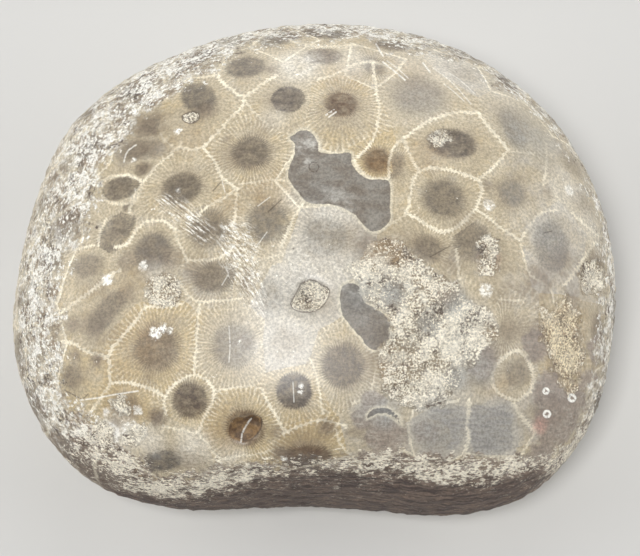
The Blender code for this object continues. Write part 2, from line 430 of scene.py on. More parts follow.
WALLS = (
    Wall(0.7, ((178, 80), (198, 77), (218, 74), (222, 62), (232, 51))),
    Wall(1.0, ((218, 74), (222, 82), (233, 90), (244, 97), (262, 84), (276, 76))),
    Wall(1.0, ((244, 97), (242, 108), (232, 116), (222, 128), (212, 138), (203, 148))),
    Wall(0.6, ((243, 98), (253, 111), (268, 125))),
    Wall(1.0, ((203, 148), (213, 159), (219, 171), (223, 179), (237, 188))),
    Wall(0.8, ((203, 148), (190, 150), (180, 147), (170, 153))),
    Wall(0.6, ((160, 133), (167, 143), (177, 149))),
    Wall(0.9, ((172, 154), (160, 163), (150, 174), (140, 186), (133, 199), (129, 212))),
    Wall(0.5, ((178, 88), (172, 96), (160, 102), (152, 112))),
    Wall(1.0, ((237, 188), (236, 205), (235, 222))),
    Wall(1.0, ((237, 188), (222, 199), (205, 208), (198, 216))),
    Wall(0.7, ((240, 184), (255, 182), (284, 179))),
    Wall(1.0, ((303, 203), (294, 217), (287, 234), (281, 246))),
    Wall(0.5, ((283, 255), (272, 257), (260, 260))),
    Wall(0.8, ((186, 260), (203, 260), (219, 258), (232, 250), (245, 250))),
    Wall(0.8, ((181, 284), (188, 295), (199, 302), (216, 301), (240, 299))),
    Wall(0.9, ((200, 302), (198, 321), (196, 345), (194, 374))),
    Wall(1.1, ((108, 358), (113, 347), (127, 331), (139, 317), (146, 307), (164, 307), (181, 303))),
    Wall(1.1, ((63, 342), (75, 344), (87, 352), (108, 358), (109, 371), (111, 383))),
    Wall(1.1, ((111, 383), (123, 382), (138, 385), (151, 389), (163, 396))),
    Wall(0.8, ((111, 383), (104, 393), (97, 403), (89, 414))),
    Wall(
        1.1,
        ((166, 414), (164, 401), (170, 389), (181, 380), (193, 375), (205, 379), (214, 390), (212, 403)),
    ),
    Wall(1.1, ((212, 403), (205, 416), (198, 434))),
    Wall(0.8, ((214, 391), (228, 389), (240, 387), (254, 386))),
    Wall(1.0, ((261, 388), (268, 403), (277, 417), (284, 433))),
    Wall(1.0, ((284, 433), (296, 427), (309, 423), (324, 420), (346, 426))),
    Wall(0.8, ((198, 434), (184, 431), (163, 426))),
    Wall(0.8, ((198, 434), (207, 443), (219, 459), (236, 456), (254, 455), (273, 450))),
    Wall(0.7, ((310, 358), (316, 372), (320, 395), (323, 413))),
    Wall(0.8, ((336, 430), (339, 441), (345, 450), (354, 457))),
    Wall(1.0, ((103, 181), (112, 177), (128, 175), (141, 181))),
    Wall(0.8, ((103, 196), (109, 202), (123, 204), (137, 199), (142, 187))),
    Wall(1.0, ((115, 247), (126, 245), (133, 235), (142, 224), (152, 221), (164, 221), (174, 228))),
    Wall(0.9, ((174, 228), (178, 241), (187, 259))),
    Wall(0.8, ((98, 246), (100, 232), (106, 219))),
    Wall(0.8, ((65, 257), (73, 251), (94, 245))),
    Wall(1.1, ((61, 313), (71, 305), (84, 296), (97, 286), (108, 277), (119, 270))),
    Wall(
        1.0,
        ((373, 62), (374, 75), (376, 90), (379, 106), (378, 121), (375, 135), (368, 147), (357, 157)),
    ),
    Wall(0.8, ((318, 79), (331, 76), (342, 71), (355, 64), (372, 62), (388, 66))),
    Wall(0.8, ((290, 40), (301, 44), (318, 47), (353, 45))),
    Wall(0.9, ((389, 178), (389, 165), (391, 152), (396, 144), (404, 138))),
    Wall(1.0, ((404, 141), (408, 150), (412, 160), (419, 171))),
    Wall(1.1, ((404, 138), (412, 132), (423, 124), (438, 117), (452, 113), (466, 112), (479, 113))),
    Wall(1.0, ((479, 113), (485, 123), (493, 132), (501, 141), (508, 150))),
    Wall(1.0, ((508, 150), (500, 160), (492, 169), (479, 180))),
    Wall(1.1, ((419, 171), (430, 168), (446, 169), (460, 173), (479, 180))),
    Wall(1.1, ((419, 171), (413, 180), (411, 193), (407, 213))),
    Wall(1.3, ((407, 213), (418, 219), (430, 227), (443, 232), (456, 228), (466, 219), (475, 210))),
    Wall(1.2, ((475, 210), (480, 199), (482, 190), (479, 180))),
    Wall(0.7, ((407, 214), (398, 220), (386, 226), (374, 233))),
    Wall(1.0, ((477, 210), (490, 219), (501, 228), (520, 240))),
    Wall(0.6, ((509, 152), (521, 152), (534, 154))),
    Wall(0.6, ((546, 143), (547, 161), (543, 186))),
    Wall(0.8, ((520, 240), (527, 230), (533, 221), (541, 213), (556, 210))),
    Wall(0.9, ((572, 212), (581, 221), (599, 236))),
    Wall(0.7, ((520, 240), (523, 254), (530, 275), (541, 281), (551, 290), (554, 301))),
    Wall(1.3, ((594, 243), (586, 255), (577, 269), (564, 285))),
    Wall(0.8, ((456, 250), (458, 263), (459, 279))),
    Wall(0.6, ((498, 299), (510, 300), (522, 301))),
    Wall(
        1.5,
        ((499, 362), (508, 354), (517, 350), (526, 356), (531, 367), (534, 379), (530, 391), (519, 400)),
    ),
    Wall(1.0, ((519, 400), (507, 398), (497, 391), (492, 381), (494, 370), (499, 362))),
    Wall(1.7, ((514, 404), (520, 415), (528, 424), (536, 431))),
    Wall(0.9, ((536, 431), (529, 443), (519, 457))),
    Wall(1.4, ((469, 400), (469, 413), (467, 425), (469, 439), (463, 458))),
    Wall(0.9, ((415, 457), (410, 441), (409, 425), (415, 407))),
    Wall(1.2, ((415, 410), (431, 408), (440, 403), (458, 401))),
    Wall(1.5, ((354, 160), (360, 171), (371, 179), (388, 181))),
    Wall(0.5, ((342, 321), (330, 328), (322, 335), (315, 344))),
    Wall(0.7, ((371, 350), (376, 362), (374, 379), (369, 394), (352, 404))),
)


class MarkKind(Enum):
    """How a thin mark differs from the stone round it: its tone and its half width in millimetres."""

    PALE_SCRATCH = (0.6, 0.04)
    PALE_LINE = (0.7, 0.08)
    WHITE_LINE = (1.0, 0.16)
    DARK_SCRATCH = (-0.6, 0.06)


@dataclass(frozen=True)
class Mark:
    """A thin scratch or crack on the polished face."""

    kind: MarkKind
    route: tuple[Pixel, ...]


def ring_route(at: Pixel, radius: float) -> tuple[Pixel, ...]:
    """A small closed ring as a route, with its radius in pixels."""
    corners = 6
    turns = [math.tau * step / corners for step in range(corners + 1)]
    return tuple((at[0] + radius * math.cos(turn), at[1] + radius * math.sin(turn)) for turn in turns)


MARKS = (
    Mark(MarkKind.PALE_LINE, ((124, 162), (126, 154), (130, 149), (136, 145))),
    Mark(MarkKind.DARK_SCRATCH, ((64, 390), (72, 394), (82, 399), (88, 394))),
    Mark(MarkKind.PALE_LINE, ((80, 400), (97, 398), (112, 395), (138, 391))),
    Mark(MarkKind.PALE_LINE, ((326, 115), (334, 110))),
    Mark(MarkKind.PALE_LINE, ((329, 117), (336, 112))),
    Mark(MarkKind.PALE_SCRATCH, ((258, 206), (270, 197))),
    Mark(MarkKind.DARK_SCRATCH, ((268, 212), (281, 200))),
    Mark(MarkKind.PALE_SCRATCH, ((256, 247), (267, 232))),
    Mark(MarkKind.DARK_SCRATCH, ((213, 191), (220, 183))),
    Mark(MarkKind.PALE_SCRATCH, ((222, 181), (225, 192))),
    Mark(MarkKind.PALE_LINE, ((376, 44), (383, 56))),
    Mark(MarkKind.PALE_LINE, ((383, 62), (393, 70), (405, 80))),
    Mark(MarkKind.PALE_SCRATCH, ((387, 61), (397, 68), (408, 78))),
    Mark(MarkKind.PALE_LINE, ((423, 63), (430, 72))),
    Mark(MarkKind.PALE_SCRATCH, ((433, 68), (448, 79), (460, 91), (471, 104))),
    Mark(MarkKind.PALE_SCRATCH, ((449, 73), (460, 80), (475, 94))),
    Mark(MarkKind.PALE_SCRATCH, ((444, 84), (452, 90), (464, 101))),
    Mark(MarkKind.PALE_SCRATCH, ((229, 326), (230, 345), (229, 362))),
    Mark(MarkKind.PALE_SCRATCH, ((293, 382), (294, 402))),
    Mark(MarkKind.PALE_SCRATCH, ((222, 285), (228, 275))),
    Mark(MarkKind.DARK_SCRATCH, ((544, 233), (552, 231))),
    Mark(MarkKind.DARK_SCRATCH, ((430, 257), (450, 246))),
    Mark(MarkKind.PALE_LINE, ((241, 442), (242, 435), (246, 427), (251, 420))),
    Mark(MarkKind.DARK_SCRATCH, ((251, 420), (258, 415), (262, 422), (259, 432), (250, 440), (243, 441))),
    Mark(MarkKind.WHITE_LINE, ring_route((546, 391), 2.4)),
    Mark(MarkKind.WHITE_LINE, ring_route((572, 398), 3.2)),
    Mark(MarkKind.WHITE_LINE, ring_route((547, 414), 3.0)),
    Mark(MarkKind.DARK_SCRATCH, ring_route((314, 167), 5.0)),
)


@dataclass(frozen=True)
class Spot:
    """A small blot on the polished face, with its radius in millimetres and its strength from 0 to 1."""

    at: Pixel
    radius: float
    strength: float = 1.0


PALE_SPOTS = (
    Spot((178, 131), 0.45),
    Spot((295, 174), 0.28),
    Spot((305, 150), 0.45, 0.6),
    Spot((312, 158), 0.3, 0.5),
    Spot((107, 280), 0.75),
    Spot((156, 333), 0.75),
    Spot((163, 328), 0.65),
    Spot((169, 331), 0.4),
    Spot((489, 205), 0.8, 0.7),
    Spot((569, 190), 0.9, 0.6),
    Spot((486, 290), 0.9, 0.8),
    Spot((455, 285), 0.5, 0.8),
    Spot((110, 433), 1.5, 0.7),
    Spot((132, 432), 1.5, 0.8),
    Spot((138, 410), 0.6, 0.7),
    Spot((106, 412), 0.5, 0.7),
    Spot((120, 405), 0.3),
    Spot((301, 386), 0.3, 0.9),
    Spot((301, 392), 0.28, 0.9),
    Spot((284, 459), 0.4, 0.9),
    Spot((362, 202), 0.25),
    Spot((66, 317), 0.35, 0.8),
    Spot((133, 160), 0.3, 0.8),
    Spot((143, 266), 0.6, 0.7),
    Spot((387, 333), 0.5, 0.9),
    Spot((178, 190), 0.3, 0.6),
)

DARK_SPOTS = (
    Spot((271, 70), 0.8, 0.5),
    Spot((134, 115), 1.1, 0.35),
    Spot((227, 139), 0.35, 0.7),
    Spot((205, 112), 1.5, 0.45),
    Spot((72, 325), 1.1, 0.5),
    Spot((75, 355), 0.8, 0.6),
    Spot((97, 360), 0.8, 0.75),
    Spot((157, 417), 1.2, 0.8),
    Spot((275, 432), 0.8, 0.55),
    Spot((327, 427), 1.1, 0.7),
    Spot((281, 453), 1.2, 0.7),
    Spot((346, 459), 0.9, 0.5),
    Spot((120, 408), 1.0, 0.55),
    Spot((115, 425), 0.8, 0.6),
    Spot((126, 262), 1.3, 0.4),
    Spot((174, 258), 1.5, 0.4),
    Spot((190, 272), 1.2, 0.35),
    Spot((547, 192), 0.8, 0.4),
    Spot((487, 185), 0.8, 0.4),
    Spot((148, 379), 0.9, 0.35),
    Spot((127, 296), 1.2, 0.35),
    Spot((488, 352), 1.5, 0.35),
    Spot((523, 290), 0.7, 0.3),
    Spot((245, 341), 1.2, 0.35),
    Spot((352, 432), 0.8, 0.35),
    Spot((525, 466), 1.2, 0.35),
    Spot((538, 330), 1.1, 0.45),
    Spot((572, 303), 1.5, 0.45),
    Spot((593, 258), 1.3, 0.4),
    Spot((99, 471), 1.4, 0.6),
    Spot((72, 228), 1.5, 0.5),
    Spot((60, 245), 1.4, 0.4),
    Spot((67, 250), 0.7, 0.6),
    Spot((124, 103), 1.4, 0.4),
    Spot((92, 150), 1.0, 0.4),
    Spot((200, 68), 1.4, 0.3),
    Spot((195, 463), 1.4, 0.3),
)


@dataclass(frozen=True)
class Patch:
    """An area of the polished face, closed by an outline. Its depth is how far it is sunk."""

    outline: tuple[Pixel, ...]
    depth: float = 0.0


POLISHED_FACE = Patch(
    (
        (112, 150), (150, 112), (186, 82), (222, 58), (262, 44), (320, 36), (400, 44), (470, 64),
        (530, 104), (574, 152), (598, 218), (604, 290), (600, 350), (588, 400), (568, 438), (540, 458),
        (480, 458), (420, 455), (350, 456), (290, 462), (240, 464), (200, 470), (165, 477), (138, 460),
        (92, 424), (62, 390), (58, 340), (58, 300), (66, 258), (84, 228), (96, 190),
    ),
)

MUD = (
    Patch(
        (
            (290, 138), (303, 130), (313, 134), (318, 144), (320, 152), (335, 154), (351, 153),
            (352, 165), (361, 175), (373, 180), (389, 181), (390, 203), (389, 222), (374, 232),
            (365, 226), (355, 215), (344, 208), (328, 204), (309, 203), (298, 192), (289, 179),
            (289, 168), (294, 155), (295, 144),
        ),
    ),
    Patch(
        (
            (342, 287), (351, 283), (361, 289), (363, 301), (375, 308), (386, 316), (394, 330),
            (387, 342), (378, 350), (367, 346), (362, 338), (351, 326), (342, 313), (340, 299),
        ),
    ),
    Patch(
        (
            (367, 418), (371, 411), (379, 408), (389, 409), (397, 415), (401, 424), (394, 418),
            (385, 413), (376, 414),
        ),
    ),
)

FILMS = (
    Patch(
        (
            (428, 407), (446, 409), (464, 407), (465, 430), (459, 446), (446, 450), (452, 436),
            (444, 424), (430, 418),
        ),
    ),
    Patch(
        (
            (471, 405), (490, 408), (507, 404), (514, 415), (511, 428), (514, 441), (507, 452),
            (490, 455), (473, 450),
        ),
    ),
)

GRAINY = (
    Patch(
        (
            (345, 268), (358, 258), (372, 241), (400, 240), (418, 258), (440, 274), (460, 284),
            (466, 299), (489, 310), (497, 330), (494, 345), (481, 351), (478, 364), (465, 374),
            (456, 390), (444, 405), (415, 410), (398, 402), (384, 392), (380, 368), (379, 350),
            (388, 338), (390, 325), (384, 312), (364, 300), (360, 286),
        ),
        0.25,
    ),
    Patch(
        ((147, 284), (155, 274), (170, 273), (180, 283), (181, 298), (171, 306), (153, 306), (146, 297)),
        0.25,
    ),
    Patch(((431, 137), (439, 130), (450, 131), (455, 137), (446, 142), (442, 149), (434, 148)), 0.3),
    Patch(
        ((477, 243), (487, 234), (497, 240), (499, 255), (497, 272), (486, 277), (476, 268), (480, 256)),
        0.3,
    ),
    Patch(((583, 263), (596, 260), (604, 272), (602, 290), (588, 294), (578, 282)), 0.3),
    Patch(((92, 428), (104, 420), (114, 428), (113, 440), (100, 446), (88, 440)), 0.2),
    Patch(((124, 434), (133, 424), (146, 427), (145, 439), (134, 446), (124, 443)), 0.2),
    Patch(((112, 400), (122, 396), (130, 404), (128, 414), (116, 414)), 0.15),
)

ORANGE = Patch(
    (
        (541, 304), (548, 316), (556, 306), (566, 297), (573, 308), (583, 318), (578, 334), (586, 350),
        (580, 368), (578, 390), (567, 393), (560, 378), (552, 366), (549, 350), (542, 336),
    ),
    0.25,
)

PITS = (
    Patch(
        (
            (291, 304), (297, 292), (302, 283), (312, 280), (320, 284), (329, 290), (327, 299),
            (320, 308), (309, 312), (297, 310),
        ),
        0.7,
    ),
    Patch(((182, 116), (190, 112), (198, 113), (199, 119), (194, 123), (186, 122)), 0.45),
)

CAVITY = Patch(
    (
        (230, 437), (229, 427), (236, 418), (245, 418), (251, 415), (261, 419), (260, 429), (252, 439),
        (243, 443), (236, 440),
    ),
    0.6,
)


class Stain(Enum):
    """A kind of soft-edged discolouring, by the name of the mesh attribute that holds it. The dark kind also
    holds painted shade, and the pale kind a painted highlight.
    """

    PALE = "pale_haze_and_highlight"
    DARK = "dark_stain_and_shade"
    WARM = "warm_stain"
    GREY = "grey_stain"
    PINK = "pink_stain"
    MATRIX = "bare_matrix"


@dataclass(frozen=True)
class Cloud:
    """A soft-edged discoloured area: its middle, its radius in millimetres and its strength."""

    kind: Stain
    at: Pixel
    radius: float
    strength: float


CLOUDS = (
    Cloud(Stain.PINK, (489, 260), 1.6, 0.8),
    Cloud(Stain.PINK, (540, 426), 1.4, 0.8),
    Cloud(Stain.MATRIX, (560, 418), 5.5, 1.0),
    Cloud(Stain.MATRIX, (549, 392), 3.5, 1.0),
    Cloud(Stain.MATRIX, (536, 345), 3.0, 1.0),
    Cloud(Stain.MATRIX, (588, 392), 4.0, 1.0),
    Cloud(Stain.MATRIX, (596, 350), 2.6, 0.9),
    Cloud(Stain.MATRIX, (373, 404), 2.4, 1.0),
    Cloud(Stain.MATRIX, (386, 436), 3.8, 1.0),
    Cloud(Stain.MATRIX, (362, 418), 2.0, 1.0),
    Cloud(Stain.MATRIX, (482, 362), 2.8, 1.0),
    Cloud(Stain.MATRIX, (425, 432), 2.6, 0.8),
    Cloud(Stain.MATRIX, (540, 455), 3.5, 0.8),
    Cloud(Stain.DARK, (150, 126), 4.0, 0.7),
    Cloud(Stain.DARK, (134, 150), 3.4, 0.7),
    Cloud(Stain.DARK, (158, 148), 2.4, 0.6),
    Cloud(Stain.DARK, (147, 168), 1.6, 0.6),
    Cloud(Stain.DARK, (122, 112), 2.2, 0.6),
    Cloud(Stain.DARK, (65, 225), 3.6, 0.9),
    Cloud(Stain.DARK, (60, 170), 2.6, 0.5),
    # Dark clouds along the lower left limb, where it turns down and away from the lights: partly the rim's
    # own darker stone, partly painted shade.
    Cloud(Stain.DARK, (95, 475), 6.0, 1.0),
    Cloud(Stain.DARK, (130, 496), 4.0, 0.7),
    Cloud(Stain.DARK, (62, 450), 5.0, 0.8),
    Cloud(Stain.DARK, (36, 410), 5.0, 0.7),
    Cloud(Stain.DARK, (18, 360), 4.0, 0.5),
    Cloud(Stain.GREY, (385, 412), 2.8, 1.0),
    Cloud(Stain.PALE, (308, 146), 2.0, 1.0),
    Cloud(Stain.PALE, (304, 160), 1.4, 0.8),
    Cloud(Stain.PALE, (300, 66), 4.5, 0.7),
    Cloud(Stain.PALE, (276, 118), 2.5, 0.3),
    Cloud(Stain.PALE, (300, 268), 5.5, 0.6),
    Cloud(Stain.PALE, (335, 268), 4.0, 0.4),
    # A pale cloud where the dome's broad glare falls: partly the stone's pale haze, partly painted
    # highlight.
    Cloud(Stain.PALE, (272, 334), 7.2, 0.5),
    Cloud(Stain.PALE, (150, 440), 3.0, 0.5),
    Cloud(Stain.PALE, (196, 447), 3.5, 0.6),
    Cloud(Stain.PALE, (230, 458), 3.0, 0.5),
    Cloud(Stain.DARK, (540, 284), 3.6, 0.8),
    Cloud(Stain.DARK, (574, 288), 2.6, 0.7),
    Cloud(Stain.DARK, (507, 292), 3.0, 0.5),
    Cloud(Stain.DARK, (452, 262), 2.6, 0.6),
    Cloud(Stain.DARK, (463, 222), 2.4, 0.5),
    Cloud(Stain.DARK, (225, 160), 3.0, 0.4),
    Cloud(Stain.DARK, (262, 128), 2.4, 0.4),
    Cloud(Stain.DARK, (95, 290), 3.0, 0.4),
    Cloud(Stain.PALE, (445, 60), 7.0, 0.45),
    Cloud(Stain.PALE, (500, 88), 6.0, 0.35),
    Cloud(Stain.PALE, (565, 190), 5.0, 0.4),
    Cloud(Stain.PALE, (350, 62), 3.5, 0.4),
    Cloud(Stain.PALE, (465, 330), 4.5, 0.9),
    Cloud(Stain.PALE, (375, 285), 4.5, 0.5),
    Cloud(Stain.PALE, (430, 392), 3.0, 0.6),
    Cloud(Stain.PALE, (155, 272), 2.0, 0.4),
    Cloud(Stain.PALE, (120, 434), 3.5, 0.8),
    Cloud(Stain.PALE, (590, 225), 4.0, 0.4),
    Cloud(Stain.WARM, (190, 140), 3.5, 0.5),
    Cloud(Stain.WARM, (265, 190), 4.0, 0.6),
    Cloud(Stain.WARM, (230, 205), 3.0, 0.6),
    Cloud(Stain.WARM, (345, 78), 4.0, 0.5),
    Cloud(Stain.WARM, (425, 155), 3.5, 0.6),
    Cloud(Stain.WARM, (378, 163), 2.6, 0.9),
    Cloud(Stain.WARM, (140, 340), 4.5, 0.6),
    Cloud(Stain.WARM, (120, 370), 4.0, 0.4),
    Cloud(Stain.WARM, (125, 405), 4.0, 0.6),
    Cloud(Stain.WARM, (225, 430), 4.0, 0.7),
    Cloud(Stain.WARM, (305, 440), 4.0, 0.6),
    Cloud(Stain.WARM, (498, 388), 2.6, 0.7),
    Cloud(Stain.WARM, (563, 345), 4.5, 0.7),
    Cloud(Stain.WARM, (410, 75), 5.0, 0.4),
    Cloud(Stain.WARM, (130, 285), 3.0, 0.4),
    Cloud(Stain.GREY, (320, 195), 3.0, 0.3),
    Cloud(Stain.PALE, (330, 206), 4.0, 0.45),
    Cloud(Stain.PALE, (296, 196), 3.0, 0.4),
    Cloud(Stain.GREY, (358, 296), 3.0, 0.7),
    Cloud(Stain.GREY, (530, 136), 6.0, 0.7),
    Cloud(Stain.GREY, (550, 235), 4.0, 0.5),
    Cloud(Stain.GREY, (418, 98), 5.0, 0.4),
    Cloud(Stain.GREY, (440, 428), 5.5, 0.8),
    Cloud(Stain.GREY, (490, 428), 5.5, 0.8),
    Cloud(Stain.GREY, (370, 405), 3.5, 0.5),
    Cloud(Stain.GREY, (480, 365), 4.0, 0.6),
    Cloud(Stain.GREY, (452, 300), 2.6, 1.0),
    Cloud(Stain.GREY, (392, 294), 2.4, 1.0),
    Cloud(Stain.GREY, (428, 324), 2.2, 0.8),
    Cloud(Stain.GREY, (458, 378), 2.6, 0.9),
    Cloud(Stain.DARK, (372, 246), 3.0, 0.8),
    Cloud(Stain.DARK, (392, 252), 3.0, 0.8),
    Cloud(Stain.DARK, (445, 290), 2.2, 0.6),
    # Broad dark clouds over the right side, which make it darker towards the right edge.
    Cloud(Stain.DARK, (555, 400), 7.0, 0.55),
    Cloud(Stain.DARK, (535, 345), 4.5, 0.5),
    Cloud(Stain.DARK, (585, 320), 5.0, 0.4),
    Cloud(Stain.DARK, (600, 370), 5.0, 0.35),
    Cloud(Stain.DARK, (500, 340), 4.0, 0.35),
    Cloud(Stain.DARK, (150, 262), 4.5, 0.5),
    Cloud(Stain.DARK, (200, 272), 3.5, 0.4),
    Cloud(Stain.DARK, (400, 247), 4.0, 0.4),
    Cloud(Stain.DARK, (305, 457), 4.5, 0.5),
    Cloud(Stain.DARK, (425, 468), 5.5, 0.3),
    Cloud(Stain.DARK, (280, 98), 3.0, 0.3),
    Cloud(Stain.DARK, (98, 326), 4.0, 0.4),
    Cloud(Stain.DARK, (376, 364), 3.0, 0.7),
    Cloud(Stain.DARK, (566, 268), 3.8, 0.6),
    Cloud(Stain.DARK, (500, 272), 4.0, 0.3),
    Cloud(Stain.DARK, (345, 366), 3.5, 0.35),
    Cloud(Stain.PALE, (228, 480), 4.5, 0.5),
    Cloud(Stain.PALE, (500, 480), 4.5, 0.5),
)


@dataclass(frozen=True)
class ScratchZone:
    """An area of close parallel scratches.

    slope: the scratches' slope downwards to the right, in degrees.
    length: how long one scratch is, in millimetres.
    strength: how white they are, from 0 to 1.
    """

    attribute: str
    outline: tuple[Pixel, ...]
    slope: float
    length: float
    strength: float


SCRATCH_ZONES = (
    ScratchZone(
        "scratches_left",
        ((157, 200), (172, 196), (196, 212), (214, 234), (204, 242), (184, 232), (166, 216)), 38, 2.6,
        1.0,
    ),
    ScratchZone(
        "scratches_middle",
        ((222, 224), (240, 228), (258, 258), (266, 300), (262, 318), (246, 304), (228, 276), (220, 250)),
        56, 1.6, 0.9,
    ),
    ScratchZone(
        "scratches_crossing", ((228, 222), (246, 222), (262, 250), (258, 282), (240, 280), (226, 256)),
        24, 1.4, 0.7,
    ),
)


def smooth_route(route: tuple[Pixel, ...], pieces: int, closed: bool = False) -> np.ndarray:
    """Points along a smooth curve through a route.

    Args:
        route: the points that the curve goes through.
        pieces: number of straight pieces between two of them.
        closed: whether the last point joins the first.

    Returns:
        The curve's points, one to a row.
    """
    points = np.array(route, float)
    if closed:
        around = np.concatenate([points[-1:], points, points[:2]])
    else:
        around = np.concatenate([2 * points[:1] - points[1:2], points, 2 * points[-1:] - points[-2:-1]])
    curve = []
    for p0, p1, p2, p3 in zip(around, around[1:], around[2:], around[3:]):
        square = 2 * p0 - 5 * p1 + 4 * p2 - p3
        cube = 3 * p1 - p0 - 3 * p2 + p3
        for step in range(pieces):
            s = step / pieces
            curve.append(0.5 * (2 * p1 + (p2 - p0) * s + square * s**2 + cube * s**3))
    if not closed:
        curve.append(points[-1])
    return np.array(curve)


def distance_to_segments(places: np.ndarray, segments: np.ndarray) -> np.ndarray:
    """Distances from places to straight segments in the picture.

    Args:
        places: picture places, one to a row.
        segments: the two ends of each segment, as four numbers to a row.

    Returns:
        One row for each place, one column for each segment.
    """
    start, end = segments[:, :2], segments[:, 2:4]
    along = end - start
    length_2 = np.maximum((along**2).sum(1), 1e-9)
    offset = places[:, None, :] - start[None]
    share = np.clip((offset * along[None]).sum(2) / length_2[None], 0, 1)
    return np.linalg.norm(offset - share[:, :, None] * along[None], axis=2)


def inside_outline(places: np.ndarray, outline: np.ndarray) -> np.ndarray:
    """True for each picture place inside a closed outline."""
    inside = np.zeros(len(places), bool)
    x, y = places[:, 0], places[:, 1]
    for (x0, y0), (x1, y1) in zip(outline, np.roll(outline, -1, axis=0)):
        if y0 != y1:
            crosses = ((y0 > y) != (y1 > y)) & (x < (x1 - x0) * (y - y0) / (y1 - y0) + x0)
            inside ^= crosses
    return inside


